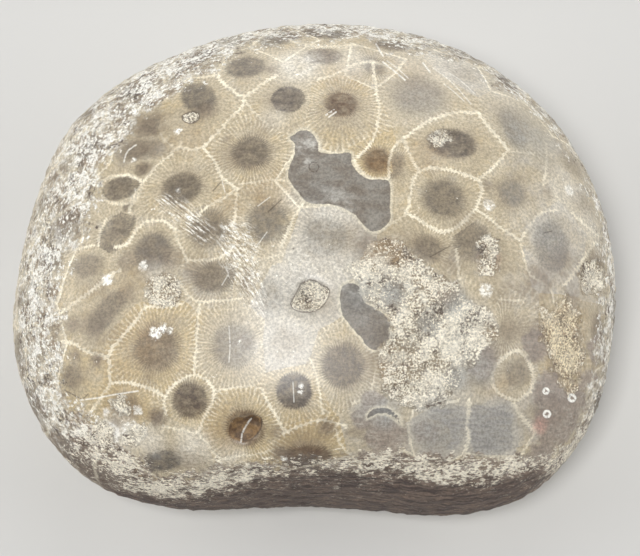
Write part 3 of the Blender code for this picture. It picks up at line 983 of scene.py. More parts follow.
class StoneMesh:
    """The stone's visible surface: a fine even grid laid on the frame's form, then pitted and roughened."""

    cells_per_edge: int = 116
    front_way: tuple[float, float, float] = (0.1, -0.995, 0.0)
    smoothing_rounds: int = 8
    coarse_grain: float = 1.5
    fine_grain: float = 0.85
    outline_margin: float = 40.0
    widest_gap: float = 20.0
    wild_spacing: float = 7.2
    wild_tries: int = 9000
    chunk_count: int = 40
    upper_disc: tuple[float, float] = (0.415, 0.395)
    under_disc: tuple[float, float] = (0.825, 0.16)

    def __init__(self, node: bpy.types.Object, view: PhotoView) -> None:
        """Takes the frame's node that the mesh stands for and the view that places are read in."""
        self.node = node
        self.view = view
        self.mesh = self.fine_grid(self.smooth_form())
        self.points = self.read("vertices", "co") / MM
        self.normals = self.read("vertices", "normal")
        self.surface = BVHTree.FromPolygons(
            self.points.tolist(), [tuple(face.vertices) for face in self.mesh.polygons]
        )
        self.places = view.picture_place(self.points)
        self.facing = view.facing(self.points, self.normals)
        self.rng = np.random.default_rng(7)

    def read(self, part: str, field_name: str) -> np.ndarray:
        """Reads a three-number value of every vertex or face."""
        items = getattr(self.mesh, part)
        flat = np.zeros(len(items) * 3, np.float32)
        items.foreach_get(field_name, flat)
        return flat.reshape(-1, 3).astype(float)

    def smooth_form(self) -> BVHTree:
        """The frame's form with its facets rounded off, to lay the grid on."""
        shape = bmesh.new()
        shape.from_mesh(self.node.data)
        bmesh.ops.remove_doubles(shape, verts=shape.verts, dist=1e-6)
        flat_enough = math.radians(40)
        bmesh.ops.join_triangles(
            shape, faces=shape.faces, angle_face_threshold=flat_enough, angle_shape_threshold=flat_enough
        )
        data = finished("form", shape)
        form = placed("form", data)
        rounding = form.modifiers.new("rounding", "SUBSURF")
        rounding.levels = 2
        rounding.render_levels = 2
        surface = BVHTree.FromObject(form, bpy.context.evaluated_depsgraph_get())
        bpy.data.objects.remove(form)
        bpy.data.meshes.remove(data)
        return surface

    def fine_grid(self, form: BVHTree) -> bpy.types.Mesh:
        """Lays an even grid of quads on the form.

        Args:
            form: the surface that the grid is laid on, in metres.

        Returns:
            The grid as a mesh, in metres.
        """
        shape = bmesh.new()
        bmesh.ops.create_cube(shape, size=2)
        cuts = self.cells_per_edge - 1
        bmesh.ops.subdivide_edges(shape, edges=shape.edges[:], cuts=cuts, use_grid_fill=True)
        middle = Vector(MIDDLE) * MM
        half_axes = Vector(HALF_AXES)
        for vertex in shape.verts:
            even = Vector([math.tan(value * math.pi / 4) for value in vertex.co]).normalized()
            vertex.co = form.ray_cast(middle, (even * half_axes).normalized())[0]
        every_way = {f"use_axis_{axis}": True for axis in "xyz"}
        for _ in range(self.smoothing_rounds):
            bmesh.ops.smooth_vert(shape, verts=shape.verts, factor=0.5, **every_way)
        bmesh.ops.recalc_face_normals(shape, faces=shape.faces)
        mesh = finished("stone", shape)
        mesh.shade_smooth()
        return mesh

    def patch_distance(self, outline: tuple[Pixel, ...]) -> np.ndarray:
        """Distance of every vertex from an outline on the polished face.

        Args:
            outline: the outline's points.

        Returns:
            Millimetres in the picture's plane, below 0 inside, and far away on the side that the camera
            doesn't see.
        """
        curve = smooth_route(outline, 4, closed=True)
        seen = self.facing > 0
        low, high = curve.min(0) - self.outline_margin, curve.max(0) + self.outline_margin
        near = seen & ((self.places > low) & (self.places < high)).all(1)
        segments = np.concatenate([curve, np.roll(curve, -1, axis=0)], axis=1)
        distance = np.full(len(self.points), FAR_AWAY)
        places = self.places[near]
        reach = distance_to_segments(places, segments).min(1) / self.view.pixels_per_mm
        distance[near] = np.where(inside_outline(places, curve), -reach, reach)
        return distance

    def bumps(self, size: float, seed: float) -> np.ndarray:
        """Smooth noise at every vertex, about -0.5 to 0.5, with bumps of a size in millimetres."""
        shift = Vector((seed, -seed, 2 * seed))
        return np.array([noise.noise(Vector(point) / size + shift) for point in self.points])

    def wear(self) -> dict[str, np.ndarray]:
        """The worn areas as distances from their outlines, in millimetres, by attribute name."""
        patches = {
            "grainy": GRAINY, "orange": (ORANGE,), "pits": PITS,
            "cavity": (CAVITY,), "mud": MUD, "film": FILMS,
        }
        wear = {"polished": -self.patch_distance(POLISHED_FACE.outline)}
        for name, group in patches.items():
            wear[name] = np.min([self.patch_distance(patch.outline) for patch in group], axis=0)
        return wear

    def roughen(self, wear: dict[str, np.ndarray]) -> None:
        """Sinks the pits and worn patches, and gives the weathered rim its uneven surface."""
        coarse = self.bumps(self.coarse_grain, 3.0)
        fine = self.bumps(self.fine_grain, 11.0)
        weathered = smooth_share(0.4, -1.6, wear["polished"] + 1.5 * self.bumps(3.0, 5.0))
        grain = weathered * (0.10 + 0.22 * coarse + 0.16 * fine)
        for patch in (*GRAINY, ORANGE):
            share = smooth_share(0.5, -0.7, self.patch_distance(patch.outline))
            grain += share * (0.5 * patch.depth + 0.3 * coarse + 0.35 * fine)
        for patch in (*PITS, CAVITY):
            share = smooth_share(0.25, -0.8, self.patch_distance(patch.outline))
            grain += share * (patch.depth + 0.5 * fine)
        resting = smooth_share(0.3, 1.5, self.points[:, 2])
        moved = self.points - self.normals * (grain * resting)[:, None]
        self.points = moved
        self.mesh.vertices.foreach_set("co", (moved * MM).astype(np.float32).ravel())
        self.mesh.update()

    def add_values(self, name: str, kind: str, domain: str, values: np.ndarray) -> None:
        """Stores values on the mesh for the material to read.

        Args:
            name: the attribute's name.
            kind: FLOAT, FLOAT_VECTOR or FLOAT_COLOR.
            domain: POINT or FACE.
            values: one value, or one row of three or four, for each vertex or face.
        """
        attribute = self.mesh.attributes.new(name, kind, domain)
        field_name = {"FLOAT": "value", "FLOAT_VECTOR": "vector", "FLOAT_COLOR": "color"}[kind]
        attribute.data.foreach_set(field_name, np.ascontiguousarray(values, np.float32).ravel())

    def add_clouds(self) -> None:
        """Stores the soft-edged stains, the strongest of each kind at every vertex."""
        for kind in Stain:
            strength = np.zeros(len(self.points))
            for cloud in CLOUDS:
                if cloud.kind is kind:
                    middle = self.view.land(cloud.at, self.surface)
                    reach = np.linalg.norm(self.points - middle, axis=1) / cloud.radius
                    strength = np.maximum(strength, cloud.strength * smooth_share(1.25, 0.2, reach))
            self.add_values(kind.value, "FLOAT", "POINT", strength)

    def add_scratch_zones(self) -> None:
        """Stores how far each vertex lies inside each area of parallel scratches."""
        for zone in SCRATCH_ZONES:
            inside = smooth_share(0.8, -0.8, self.patch_distance(zone.outline))
            self.add_values(zone.attribute, "FLOAT", "POINT", inside)

    def wild_seats(self, taken: np.ndarray, spacing: float) -> np.ndarray:
        """Seats of cells for the sides and the underside, which the photograph doesn't show.

        Args:
            taken: places of the seats that are already there.
            spacing: least distance between two seats.

        Returns:
            The new places, one to a row.
        """
        seats = list(taken)
        start = len(seats)
        for index in self.rng.permutation(len(self.points))[: self.wild_tries]:
            place = self.points[index]
            if min(np.linalg.norm(np.array(seats) - place, axis=1)) > spacing:
                seats.append(place)
        return np.array(seats[start:])

    def add_cells(self) -> None:
        """Stores on every face the coral cells whose walls and eyes may show on it."""
        seats, owners, eyes, looks, shapes, rays = [], [], [], [], [], []
        for index, cell in enumerate(CORALLITES):
            for seat in cell.all_seats():
                seats.append([*self.view.land(seat.at, self.surface), seat.reach])
                owners.append(index)
            eyes.append([*self.view.land(cell.at, self.surface), cell.eye])
            looks.append([cell.dark, cell.warm, cell.tan, cell.soft])
            turn = math.radians(2 * cell.turn)
            shapes.append([cell.stretch * math.cos(turn), cell.stretch * math.sin(turn), cell.septa, 0.0])
            rays.append(cell.rays)
        between = self.rng.uniform
        for place in self.wild_seats(np.array(seats)[:, :3], self.wild_spacing):
            seats.append([*place, between(3.6, 4.6)])
            owners.append(len(eyes))
            eyes.append([*(place + self.rng.normal(0, 0.5, 3)), between(1.6, 2.6)])
            looks.append([between(0.3, 0.7), between(-0.2, 0.5), between(-0.3, 0.5), 1.2])
            shapes.append([between(-0.2, 0.2), between(-0.2, 0.2), 44, 1.0])
            rays.append(0.6)
        seats, owners = np.array(seats), np.array(owners)
        eyes, looks, shapes, rays = np.array(eyes), np.array(looks), np.array(shapes), np.array(rays)
        centres = self.read("polygons", "center") / MM
        reach = np.linalg.norm(centres[:, None] - seats[None, :, :3], axis=2) - seats[None, :, 3]
        for rank in ("first", "second", "third"):
            nearest = reach.argmin(1)
            owner = owners[nearest]
            self.add_values(f"{rank}_seat", "FLOAT_COLOR", "FACE", seats[nearest])
            if rank != "third":
                self.add_values(f"{rank}_eye", "FLOAT_COLOR", "FACE", eyes[owner])
                self.add_values(f"{rank}_look", "FLOAT_COLOR", "FACE", looks[owner])
                self.add_values(f"{rank}_shape", "FLOAT_COLOR", "FACE", shapes[owner])
                self.add_values(f"{rank}_rays", "FLOAT", "FACE", rays[owner])
            reach[owners[None, :] == owner[:, None]] = FAR_AWAY
        log.info("%d cells, %d of them unseen in the photograph", len(eyes), len(eyes) - len(CORALLITES))

    def nearest_segments(self, segments: np.ndarray, count: int) -> list[np.ndarray]:
        """Finds the segments nearest to each face.

        Args:
            segments: one segment to a row, its two ends in pixels and then its look.
            count: how many are found for each face.

        Returns:
            For each rank, the row of the segment for every face, or -1 on faces that the camera doesn't see.
        """
        centres = self.read("polygons", "center") / MM
        normals = self.read("polygons", "normal")
        places = self.view.picture_place(centres)
        seen = np.flatnonzero(self.view.facing(centres, normals) > 0)
        ranks = [np.full(len(centres), -1) for _ in range(count)]
        for chunk in np.array_split(seen, self.chunk_count):
            order = distance_to_segments(places[chunk], segments).argpartition(count, axis=1)
            for rank in range(count):
                ranks[rank][chunk] = order[:, rank]
        return ranks

    def add_lines(self) -> None:
        """Stores on every face the wall and mark pieces that may cross it, in millimetres of the picture."""
        scale = self.view.pixels_per_mm
        walls = []
        for wall in WALLS:
            curve = smooth_route(wall.route, 2)
            walls += [[*a, *b, wall.strength] for a, b in zip(curve, curve[1:])]
        marks = []
        for mark in MARKS:
            tone, half_width = mark.kind.value
            curve = smooth_route(mark.route, 2) if len(mark.route) > 2 else np.array(mark.route, float)
            marks += [[*a, *b, tone, half_width] for a, b in zip(curve, curve[1:])]
        flat_places = np.pad(self.places / scale, ((0, 0), (0, 1)))
        self.add_values("picture_place", "FLOAT_VECTOR", "POINT", flat_places)
        walls, marks = np.array(walls), np.array(marks)
        strengths = []
        for name, rows in zip(("wall_1", "wall_2", "wall_3"), self.nearest_segments(walls, 3)):
            ends = np.where(rows[:, None] < 0, FAR_AWAY, walls[rows, :4] / scale)
            self.add_values(name, "FLOAT_COLOR", "FACE", ends)
            strengths.append(np.where(rows < 0, 0.0, walls[rows, 4]))
        self.add_values("wall_strength", "FLOAT_VECTOR", "FACE", np.stack(strengths, axis=1))
        rows = self.nearest_segments(marks, 1)[0]
        ends = np.where(rows[:, None] < 0, FAR_AWAY, marks[rows, :4] / scale)
        self.add_values("mark", "FLOAT_COLOR", "FACE", ends)
        look = np.where(rows[:, None] < 0, 0.0, marks[rows, 4:6])
        self.add_values("mark_look", "FLOAT_VECTOR", "FACE", np.pad(look, ((0, 0), (0, 1))))

    def add_spots(self) -> None:
        """Stores on every face the pale and the dark blot nearest to it."""
        centres = self.read("polygons", "center") / MM
        for name, spots in (("pale_spot", PALE_SPOTS), ("dark_spot", DARK_SPOTS)):
            places = np.array([[*self.view.land(spot.at, self.surface), spot.radius] for spot in spots])
            strengths = np.array([spot.strength for spot in spots])
            gap = np.linalg.norm(centres[:, None] - places[None, :, :3], axis=2) - places[None, :, 3]
            nearest = gap.argmin(1)
            self.add_values(name, "FLOAT_COLOR", "FACE", places[nearest])
            self.add_values(f"{name}_strength", "FLOAT", "FACE", strengths[nearest])

    def add_front_facing(self) -> None:
        """Stores how squarely each vertex faces the dark front wall's way, and how far it faces upwards,
        which the material reads to paint shade on that wall.
        """
        front = self.normals @ np.array(self.front_way)
        facing = np.stack([front, self.normals[:, 2], 0 * front], axis=1)
        self.add_values("front_facing", "FLOAT_VECTOR", "POINT", facing)

    def add_bake_map(self) -> None:
        """Unwraps the stone onto two discs, a large one for the upper side and a small one for the other."""
        layer = self.mesh.uv_layers.new(name="OFBake")
        centres = self.read("polygons", "center") / MM
        above = centres[:, 2] > MIDDLE[2]
        loops = np.zeros(len(self.mesh.loops), np.int32)
        self.mesh.loops.foreach_get("vertex_index", loops)
        sizes = np.zeros(len(self.mesh.polygons), np.int32)
        self.mesh.polygons.foreach_get("loop_total", sizes)
        upper = np.repeat(above, sizes)
        offset = (self.points - np.array(MIDDLE)) / np.array(HALF_AXES)
        offset /= np.linalg.norm(offset, axis=1, keepdims=True)
        tilt = np.arccos(np.clip(offset[:, 2], -1, 1))[loops]
        tilt = np.where(upper, tilt, math.pi - tilt)
        azimuth = np.arctan2(offset[:, 1], offset[:, 0])[loops]
        disc_middle = np.where(upper, self.upper_disc[0], self.under_disc[0])
        disc_radius = np.where(upper, self.upper_disc[1], self.under_disc[1])
        radius = disc_radius * tilt / (math.pi / 2)
        round_way = np.stack([np.cos(azimuth), np.sin(azimuth)], axis=1)
        places = disc_middle[:, None] + radius[:, None] * round_way
        layer.data.foreach_set("uv", places.astype(np.float32).ravel())

    def build(self) -> bpy.types.Object:
        """Finishes the mesh and returns it as an object."""
        wear = self.wear()
        for name, distance in wear.items():
            gap = np.clip(distance, -self.widest_gap, self.widest_gap)
            self.add_values(name, "FLOAT", "POINT", gap)
        self.add_clouds()
        self.add_scratch_zones()
        self.add_cells()
        self.add_lines()
        self.add_spots()
        self.add_front_facing()
        self.add_bake_map()
        self.roughen(wear)
        return placed("stone", self.mesh)


@dataclass(frozen=True)
class Signal:
    """A value that changes over the surface, as a shader node gives it, with the usual arithmetic."""

    sheet: "ShaderSheet"
    socket: bpy.types.NodeSocket

    def __add__(self, other: "Signal | float") -> "Signal":
        """The sum of two values."""
        return self.sheet.math("ADD", self, other)

    def __sub__(self, other: "Signal | float") -> "Signal":
        """The difference of two values."""
        return self.sheet.math("SUBTRACT", self, other)

    def __rsub__(self, other: float) -> "Signal":
        """A number less this value."""
        return self.sheet.math("SUBTRACT", other, self)

    def __mul__(self, other: "Signal | float") -> "Signal":
        """The product of two values."""
        return self.sheet.math("MULTIPLY", self, other)

    def __truediv__(self, other: "Signal | float") -> "Signal":
        """The quotient of two values."""
        return self.sheet.math("DIVIDE", self, other)

    __radd__ = __add__
    __rmul__ = __mul__


class ShaderSheet:
    """Lays shader nodes of a material and wires them."""

    def __init__(self, material: bpy.types.Material) -> None:
        """Takes the material whose nodes are laid."""
        self.tree = material.node_tree
        self.count = 0

    def node(self, kind: str) -> bpy.types.ShaderNode:
        """Adds a node of a kind."""
        node = self.tree.nodes.new(kind)
        node.location = (-250 * (1 + self.count % 24), -160 * (self.count // 24))
        self.count += 1
        return node

    def wire(self, value: "Signal | float | tuple", socket: bpy.types.NodeSocket) -> None:
        """Links a signal to a socket, or sets the socket to a number or colour."""
        if isinstance(value, Signal):
            self.tree.links.new(value.socket, socket)
        else:
            socket.default_value = value

    def step(self, kind: str, operation: str, values: tuple, output: str) -> Signal:
        """One step on values by a node of a kind."""
        node = self.node(kind)
        node.operation = operation
        for value, socket in zip(values, node.inputs):
            self.wire(value, socket)
        return Signal(self, node.outputs[output])

    def math(self, operation: str, *values: "Signal | float") -> Signal:
        """One arithmetic step on numbers."""
        return self.step("ShaderNodeMath", operation, values, "Value")

    def least(self, a: "Signal | float", b: "Signal | float") -> Signal:
        """The smaller of two values."""
        return self.math("MINIMUM", a, b)

    def most(self, a: "Signal | float", b: "Signal | float") -> Signal:
        """The larger of two values."""
        return self.math("MAXIMUM", a, b)

    def vector(self, operation: str, *values: "Signal | tuple") -> Signal:
        """One step on vectors that gives a vector."""
        return self.step("ShaderNodeVectorMath", operation, values, "Vector")

    def measure(self, operation: str, *values: "Signal | tuple") -> Signal:
        """One step on vectors that gives a number."""
        return self.step("ShaderNodeVectorMath", operation, values, "Value")

    def scaled(self, vector: Signal, factor: "Signal | float") -> Signal:
        """A vector made longer or shorter by a factor."""
        node = self.node("ShaderNodeVectorMath")
        node.operation = "SCALE"
        self.wire(vector, node.inputs[0])
        self.wire(factor, node.inputs["Scale"])
        return Signal(self, node.outputs["Vector"])

    def attribute(self, name: str, output: str = "Fac") -> Signal:
        """A value stored on the mesh: Fac, Vector, Color or Alpha."""
        node = self.node("ShaderNodeAttribute")
        node.attribute_name = name
        return Signal(self, node.outputs[output])

    def parts(self, vector: Signal) -> tuple[Signal, Signal, Signal]:
        """The three numbers of a vector or colour."""
        node = self.node("ShaderNodeSeparateXYZ")
        self.wire(vector, node.inputs[0])
        return tuple(Signal(self, socket) for socket in node.outputs)

    def joined(self, x: "Signal | float", y: "Signal | float", z: "Signal | float") -> Signal:
        """A vector of three numbers."""
        node = self.node("ShaderNodeCombineXYZ")
        for value, socket in zip((x, y, z), node.inputs):
            self.wire(value, socket)
        return Signal(self, node.outputs[0])

    def noise(
        self, place: Signal, per_mm: float, detail: float = 2, rough: float = 0.5, output: str = "Fac"
    ) -> Signal:
        """Smooth noise from 0 to 1 with so many features to the millimetre, or a colour of three noises."""
        node = self.node("ShaderNodeTexNoise")
        self.wire(place, node.inputs["Vector"])
        node.inputs["Scale"].default_value = per_mm
        node.inputs["Detail"].default_value = detail
        node.inputs["Roughness"].default_value = rough
        return Signal(self, node.outputs[output])

    def ramp(self, low: float, high: float, value: Signal) -> Signal:
        """0 on low's side, 1 on high's side, and a smooth ramp between."""
        node = self.node("ShaderNodeMapRange")
        node.interpolation_type = "SMOOTHSTEP"
        self.wire(value, node.inputs["Value"])
        start, end = (0.0, 1.0) if low < high else (1.0, 0.0)
        node.inputs["From Min"].default_value = min(low, high)
        node.inputs["From Max"].default_value = max(low, high)
        node.inputs["To Min"].default_value = start
        node.inputs["To Max"].default_value = end
        return Signal(self, node.outputs["Result"])

    def mix(self, share: "Signal | float", a: "Signal | Colour", b: "Signal | Colour") -> Signal:
        """Colour a turned into colour b by a share from 0 to 1."""
        node = self.node("ShaderNodeMix")
        node.data_type = "RGBA"
        self.wire(share, node.inputs[0])
        self.wire(a, node.inputs[6])
        self.wire(b, node.inputs[7])
        return Signal(self, node.outputs[2])

    def choose(self, share: Signal, a: Signal, b: Signal) -> Signal:
        """Vector a where the share is 0 and vector b where it is 1."""
        node = self.node("ShaderNodeMix")
        node.data_type = "VECTOR"
        node.clamp_factor = False
        self.wire(share, node.inputs[0])
        self.wire(a, node.inputs[4])
        self.wire(b, node.inputs[5])
        return Signal(self, node.outputs[1])

    def pick(self, share: Signal, a: Signal, b: Signal) -> Signal:
        """Number a where the share is 0 and number b where it is 1."""
        return a + share * (b - a)


@dataclass(frozen=True)
class CoralTones:
    """Colours of the stone, as they look under a plain white light. The front wall's tones also carry
    painted shade.
    """

    wall: Colour = srgb(240, 230, 206)
    tan: Colour = srgb(186, 173, 147)
    honey: Colour = srgb(189, 170, 132)
    grey_cell: Colour = srgb(188, 181, 168)
    inner: Colour = srgb(156, 143, 122)
    eye_grey: Colour = srgb(88, 80, 72)
    eye_olive: Colour = srgb(114, 101, 78)
    eye_rust: Colour = srgb(86, 62, 42)
    eye_blue: Colour = srgb(126, 128, 127)
    mud: Colour = srgb(123, 114, 103)
    mud_pale: Colour = srgb(141, 136, 127)
    mud_rim: Colour = srgb(226, 218, 196)
    film: Colour = srgb(148, 145, 141)
    matrix: Colour = srgb(164, 152, 140)
    matrix_dark: Colour = srgb(138, 126, 116)
    haze_and_highlight: Colour = srgb(238, 235, 226)
    grain_white: Colour = srgb(228, 222, 206)
    grain_cream: Colour = srgb(164, 150, 127)
    orange: Colour = srgb(200, 176, 144)
    pink: Colour = srgb(196, 150, 136)
    stain_dark_and_shade: Colour = srgb(108, 94, 83)
    stain_warm: Colour = srgb(146, 116, 78)
    stain_grey: Colour = srgb(163, 162, 157)
    rim_pale: Colour = srgb(218, 207, 184)
    rim_grey: Colour = srgb(168, 152, 130)
    rim_dark: Colour = srgb(90, 77, 68)
    # The front wall's dark and brown tones: partly its own weathered stone, partly painted shade.
    wall_dark_and_shade: Colour = srgb(80, 68, 64)
    wall_brown_and_shade: Colour = srgb(132, 114, 101)
    chip: Colour = srgb(253, 250, 241)
    chip_gold: Colour = srgb(242, 228, 196)
    # Dark for cracks and dark scratches, and for the painted shadow round the pits.
    crack: Colour = srgb(72, 60, 50)


@dataclass
class Cells:
    """What the coral's cells give at each point of the surface."""

    ring: Signal
    wall_gap: Signal
    wall_line: Signal
    eye: Signal
    septa: Signal
    rays: Signal
    warm: Signal
    tan: Signal
    dark: Signal


@dataclass
class ShadedFrontWall:
    """The steep front side: where it is dark and layered, and where it faces ahead at all, from 0 to 1. Its
    darkening is partly the stone's own browner colour and partly painted shade.
    """

    dark: Signal
    ahead: Signal


class StoneMaterial:
    """The stone's material: coral cells on a satin polish, mud, worn grain and a matte weathered rim, with
    painted shade on the front side.
    """

    tones: CoralTones = CoralTones()

    def __init__(self) -> None:
        """Makes the material and the values that all of its parts read."""
        self.material = bpy.data.materials.new("coral_limestone")
        self.material.use_nodes = True
        self.sheet = ShaderSheet(self.material)
        sheet = self.sheet
        coordinates = sheet.node("ShaderNodeTexCoord")
        self.place = sheet.scaled(Signal(sheet, coordinates.outputs["Object"]), 1 / MM)
        self.picture = sheet.attribute("picture_place", "Vector")
        three_noises = sheet.noise(self.place, 1.5, 1, output="Color")
        self.wander = sheet.vector("SUBTRACT", three_noises, (0.5, 0.5, 0.5))

    def noise(self, per_mm: float, detail: float = 2, rough: float = 0.5) -> Signal:
        """Smooth noise over the stone, from 0 to 1."""
        return self.sheet.noise(self.place, per_mm, detail, rough)

    def uneven(self, spread: float, per_mm: float, detail: float = 2, rough: float = 0.5) -> Signal:
        """Smooth noise over the stone about 0, with its spread from end to end."""
        return (self.noise(per_mm, detail, rough) - 0.5) * spread

    def layered(self, squeeze: tuple, per_mm: float, detail: float, rough: float) -> Signal:
        """Smooth noise from 0 to 1 that is finer by a factor along each of the three directions."""
        sheet = self.sheet
        return sheet.noise(sheet.vector("MULTIPLY", self.place, squeeze), per_mm, detail, rough)

    def stain(self, kind: Stain) -> Signal:
        """How strong a kind of stain is, from 0 to 1."""
        return self.sheet.attribute(kind.value)

    def segment_gap(self, name: str, place: Signal) -> Signal:
        """Distance from a place in the picture's plane to the segment that a face attribute holds."""
        sheet = self.sheet
        x0, y0, x1 = sheet.parts(sheet.attribute(name, "Color"))
        y1 = sheet.attribute(name, "Alpha")
        start = sheet.joined(x0, y0, 0.0)
        along = sheet.vector("SUBTRACT", sheet.joined(x1, y1, 0.0), start)
        offset = sheet.vector("SUBTRACT", place, start)
        share = sheet.measure("DOT_PRODUCT", offset, along) / sheet.measure("DOT_PRODUCT", along, along)
        share = sheet.least(sheet.most(share, 0.0), 1.0)
        return sheet.measure("DISTANCE", offset, sheet.scaled(along, share))

    def traced_walls(self, septa: Signal) -> tuple[Signal, Signal]:
        """The walls drawn on the polished face, toothed where septa meet them.

        Args:
            septa: how far each point lies on a septum, from 0 to 1.

        Returns:
            The gap to the nearest wall, and the strength of the wall line itself.
        """
        sheet = self.sheet
        place = sheet.vector("ADD", self.picture, sheet.scaled(self.wander, 0.5))
        place = sheet.vector("MULTIPLY", place, (1.0, 1.0, 0.0))
        strengths = sheet.parts(sheet.attribute("wall_strength", "Vector"))
        width = 0.02 + 0.14 * self.noise(0.5) + 0.18 * septa
        nearest, line = None, None
        for name, strength in zip(("wall_1", "wall_2", "wall_3"), strengths):
            gap = self.segment_gap(name, place)
            drawn = sheet.ramp(0.16, -0.06, gap - width * strength) * sheet.least(strength, 1.0)
            nearest = gap if nearest is None else sheet.least(nearest, gap)
            line = drawn if line is None else sheet.most(line, drawn)
        return nearest, line

    def cells(self) -> Cells:
        """Works out the coral's cells from the seats and eyes stored on the faces."""
        sheet = self.sheet
        place = sheet.vector("ADD", self.place, sheet.scaled(self.wander, 0.35))
        reaches = []
        for rank in ("first", "second", "third"):
            seat = sheet.attribute(f"{rank}_seat", "Color")
            reaches.append(sheet.measure("DISTANCE", place, seat) - sheet.attribute(f"{rank}_seat", "Alpha"))
        first, second, third = reaches
        swapped = sheet.math("LESS_THAN", second, first)
        least = sheet.least(first, second)
        middle = sheet.most(least, sheet.least(sheet.most(first, second), third))
        seat_gap = sheet.math("ABSOLUTE", middle - sheet.least(least, third)) * 0.5

        def chosen(name: str) -> tuple[Signal, Signal]:
            """The owner's stored colour and alpha."""
            names = (f"first_{name}", f"second_{name}")
            colour = sheet.choose(swapped, *(sheet.attribute(stored, "Color") for stored in names))
            alpha = sheet.pick(swapped, *(sheet.attribute(stored, "Alpha") for stored in names))
            return colour, alpha

        eye_place, eye_radius = chosen("eye")
        look, soft = chosen("look")
        shape, wild = chosen("shape")
        rays = sheet.pick(swapped, sheet.attribute("first_rays"), sheet.attribute("second_rays"))
        dark, warm, tan = sheet.parts(look)
        stretch_x, stretch_y, septa_count = sheet.parts(shape)

        outward = sheet.vector("SUBTRACT", self.place, MIDDLE)
        outward = sheet.vector("DIVIDE", outward, tuple(axis**2 for axis in HALF_AXES))
        outward = sheet.vector("NORMALIZE", outward)
        side = sheet.vector("NORMALIZE", sheet.vector("CROSS_PRODUCT", (0.0, 1.0, 0.0), outward))
        ahead = sheet.vector("CROSS_PRODUCT", outward, side)
        offset = sheet.vector("SUBTRACT", place, eye_place)
        x = sheet.measure("DOT_PRODUCT", offset, side)
        y = sheet.measure("DOT_PRODUCT", offset, ahead)
        azimuth = sheet.math("ARCTAN2", y, x)
        pull = stretch_x * sheet.math("COSINE", azimuth * 2.0)
        pull = pull + stretch_y * sheet.math("SINE", azimuth * 2.0)
        radius = sheet.math("SQRT", x * x + y * y) * (1.0 - pull)

        sway = self.uneven(5.0, 0.5) + self.uneven(3.5, 1.4)
        wave = sheet.math("SINE", azimuth * septa_count + sway) * 0.5 + 0.5
        septa = wave * wave
        traced_gap, traced_line = self.traced_walls(septa)
        wild_line = sheet.ramp(0.45, 0.12, seat_gap) * wild
        wall_gap = sheet.least(seat_gap, traced_gap)
        wall_line = sheet.most(traced_line, wild_line)
        blur = self.uneven(1.5, 0.9, 4, 0.6)
        edge = radius - eye_radius * 1.06 + (blur + septa * rays * 0.35) * sheet.least(soft, 1.2)
        eye = sheet.ramp(0.5, -0.5, edge / soft)
        ring = radius / (radius + wall_gap + 0.05)
        return Cells(ring, wall_gap, wall_line, eye, septa, rays, warm, tan, dark)

    def coral_colour(self, cells: Cells) -> Signal:
        """Colour of the polished coral, without its stains and worn places."""
        sheet, tones = self.sheet, self.tones
        cloudy = self.noise(0.35, 5, 0.65) - 0.5
        other = sheet.noise(sheet.vector("ADD", self.place, (7.0, 31.0, 13.0)), 0.3, 5, 0.65) - 0.5
        tan = cells.tan + 2.4 * cloudy
        body = sheet.mix(sheet.ramp(0.0, 0.9, tan), tones.tan, tones.honey)
        body = sheet.mix(sheet.ramp(0.0, -0.9, tan), body, tones.grey_cell)
        body = sheet.mix(sheet.ramp(0.0, 0.35, other) * 0.8, body, tones.inner)
        body = sheet.mix(sheet.ramp(0.0, -0.35, other) * 0.5, body, tones.wall)
        body = sheet.mix(sheet.ramp(0.78, 0.35, cells.ring) * 0.7, body, tones.inner)
        near_wall = sheet.ramp(1.6, 0.1, cells.wall_gap)
        broken = sheet.ramp(0.4, 0.6, self.noise(1.8, 4, 0.75))
        seen = sheet.ramp(0.25, 0.6, cells.ring) * cells.rays
        drawn = cells.septa * seen * (0.2 + 0.45 * near_wall) * (0.25 + broken)
        body = sheet.mix(sheet.least(drawn, 0.8), body, tones.wall)
        between = (1.0 - cells.septa) * seen * (0.35 + broken)
        body = sheet.mix(between * 0.3, body, tones.inner)
        eye_colour = sheet.mix(sheet.ramp(0.0, 0.9, cells.warm), tones.eye_grey, tones.eye_rust)
        eye_colour = sheet.mix(sheet.ramp(0.0, -0.9, cells.warm), eye_colour, tones.eye_blue)
        mottle = sheet.ramp(0.34, 0.64, self.noise(0.9, 5, 0.7))
        streaks = self.layered((0.4, 2.0, 1.0), 1.0, 4, 0.7)
        eye_colour = sheet.mix((1.0 - mottle) * 0.35, eye_colour, tones.eye_olive)
        strength = cells.eye * cells.dark * (0.64 + 0.5 * mottle + 0.2 * sheet.ramp(0.62, 0.42, streaks))
        body = sheet.mix(sheet.least(strength, 0.96), body, eye_colour)
        fading = sheet.ramp(0.3, 0.62, self.noise(0.3, 4, 0.65)) * 0.55 + 0.4
        body = sheet.mix(cells.wall_line * fading, body, tones.wall)
        matrix = self.stain(Stain.MATRIX) + self.uneven(1.4, 0.6, 5, 0.65)
        bare = sheet.mix(mottle, tones.matrix, tones.matrix_dark)
        bare = sheet.mix(sheet.ramp(0.52, 0.62, streaks) * 0.5, bare, tones.grey_cell)
        return sheet.mix(sheet.ramp(0.3, 0.7, matrix) * 0.85, body, bare)

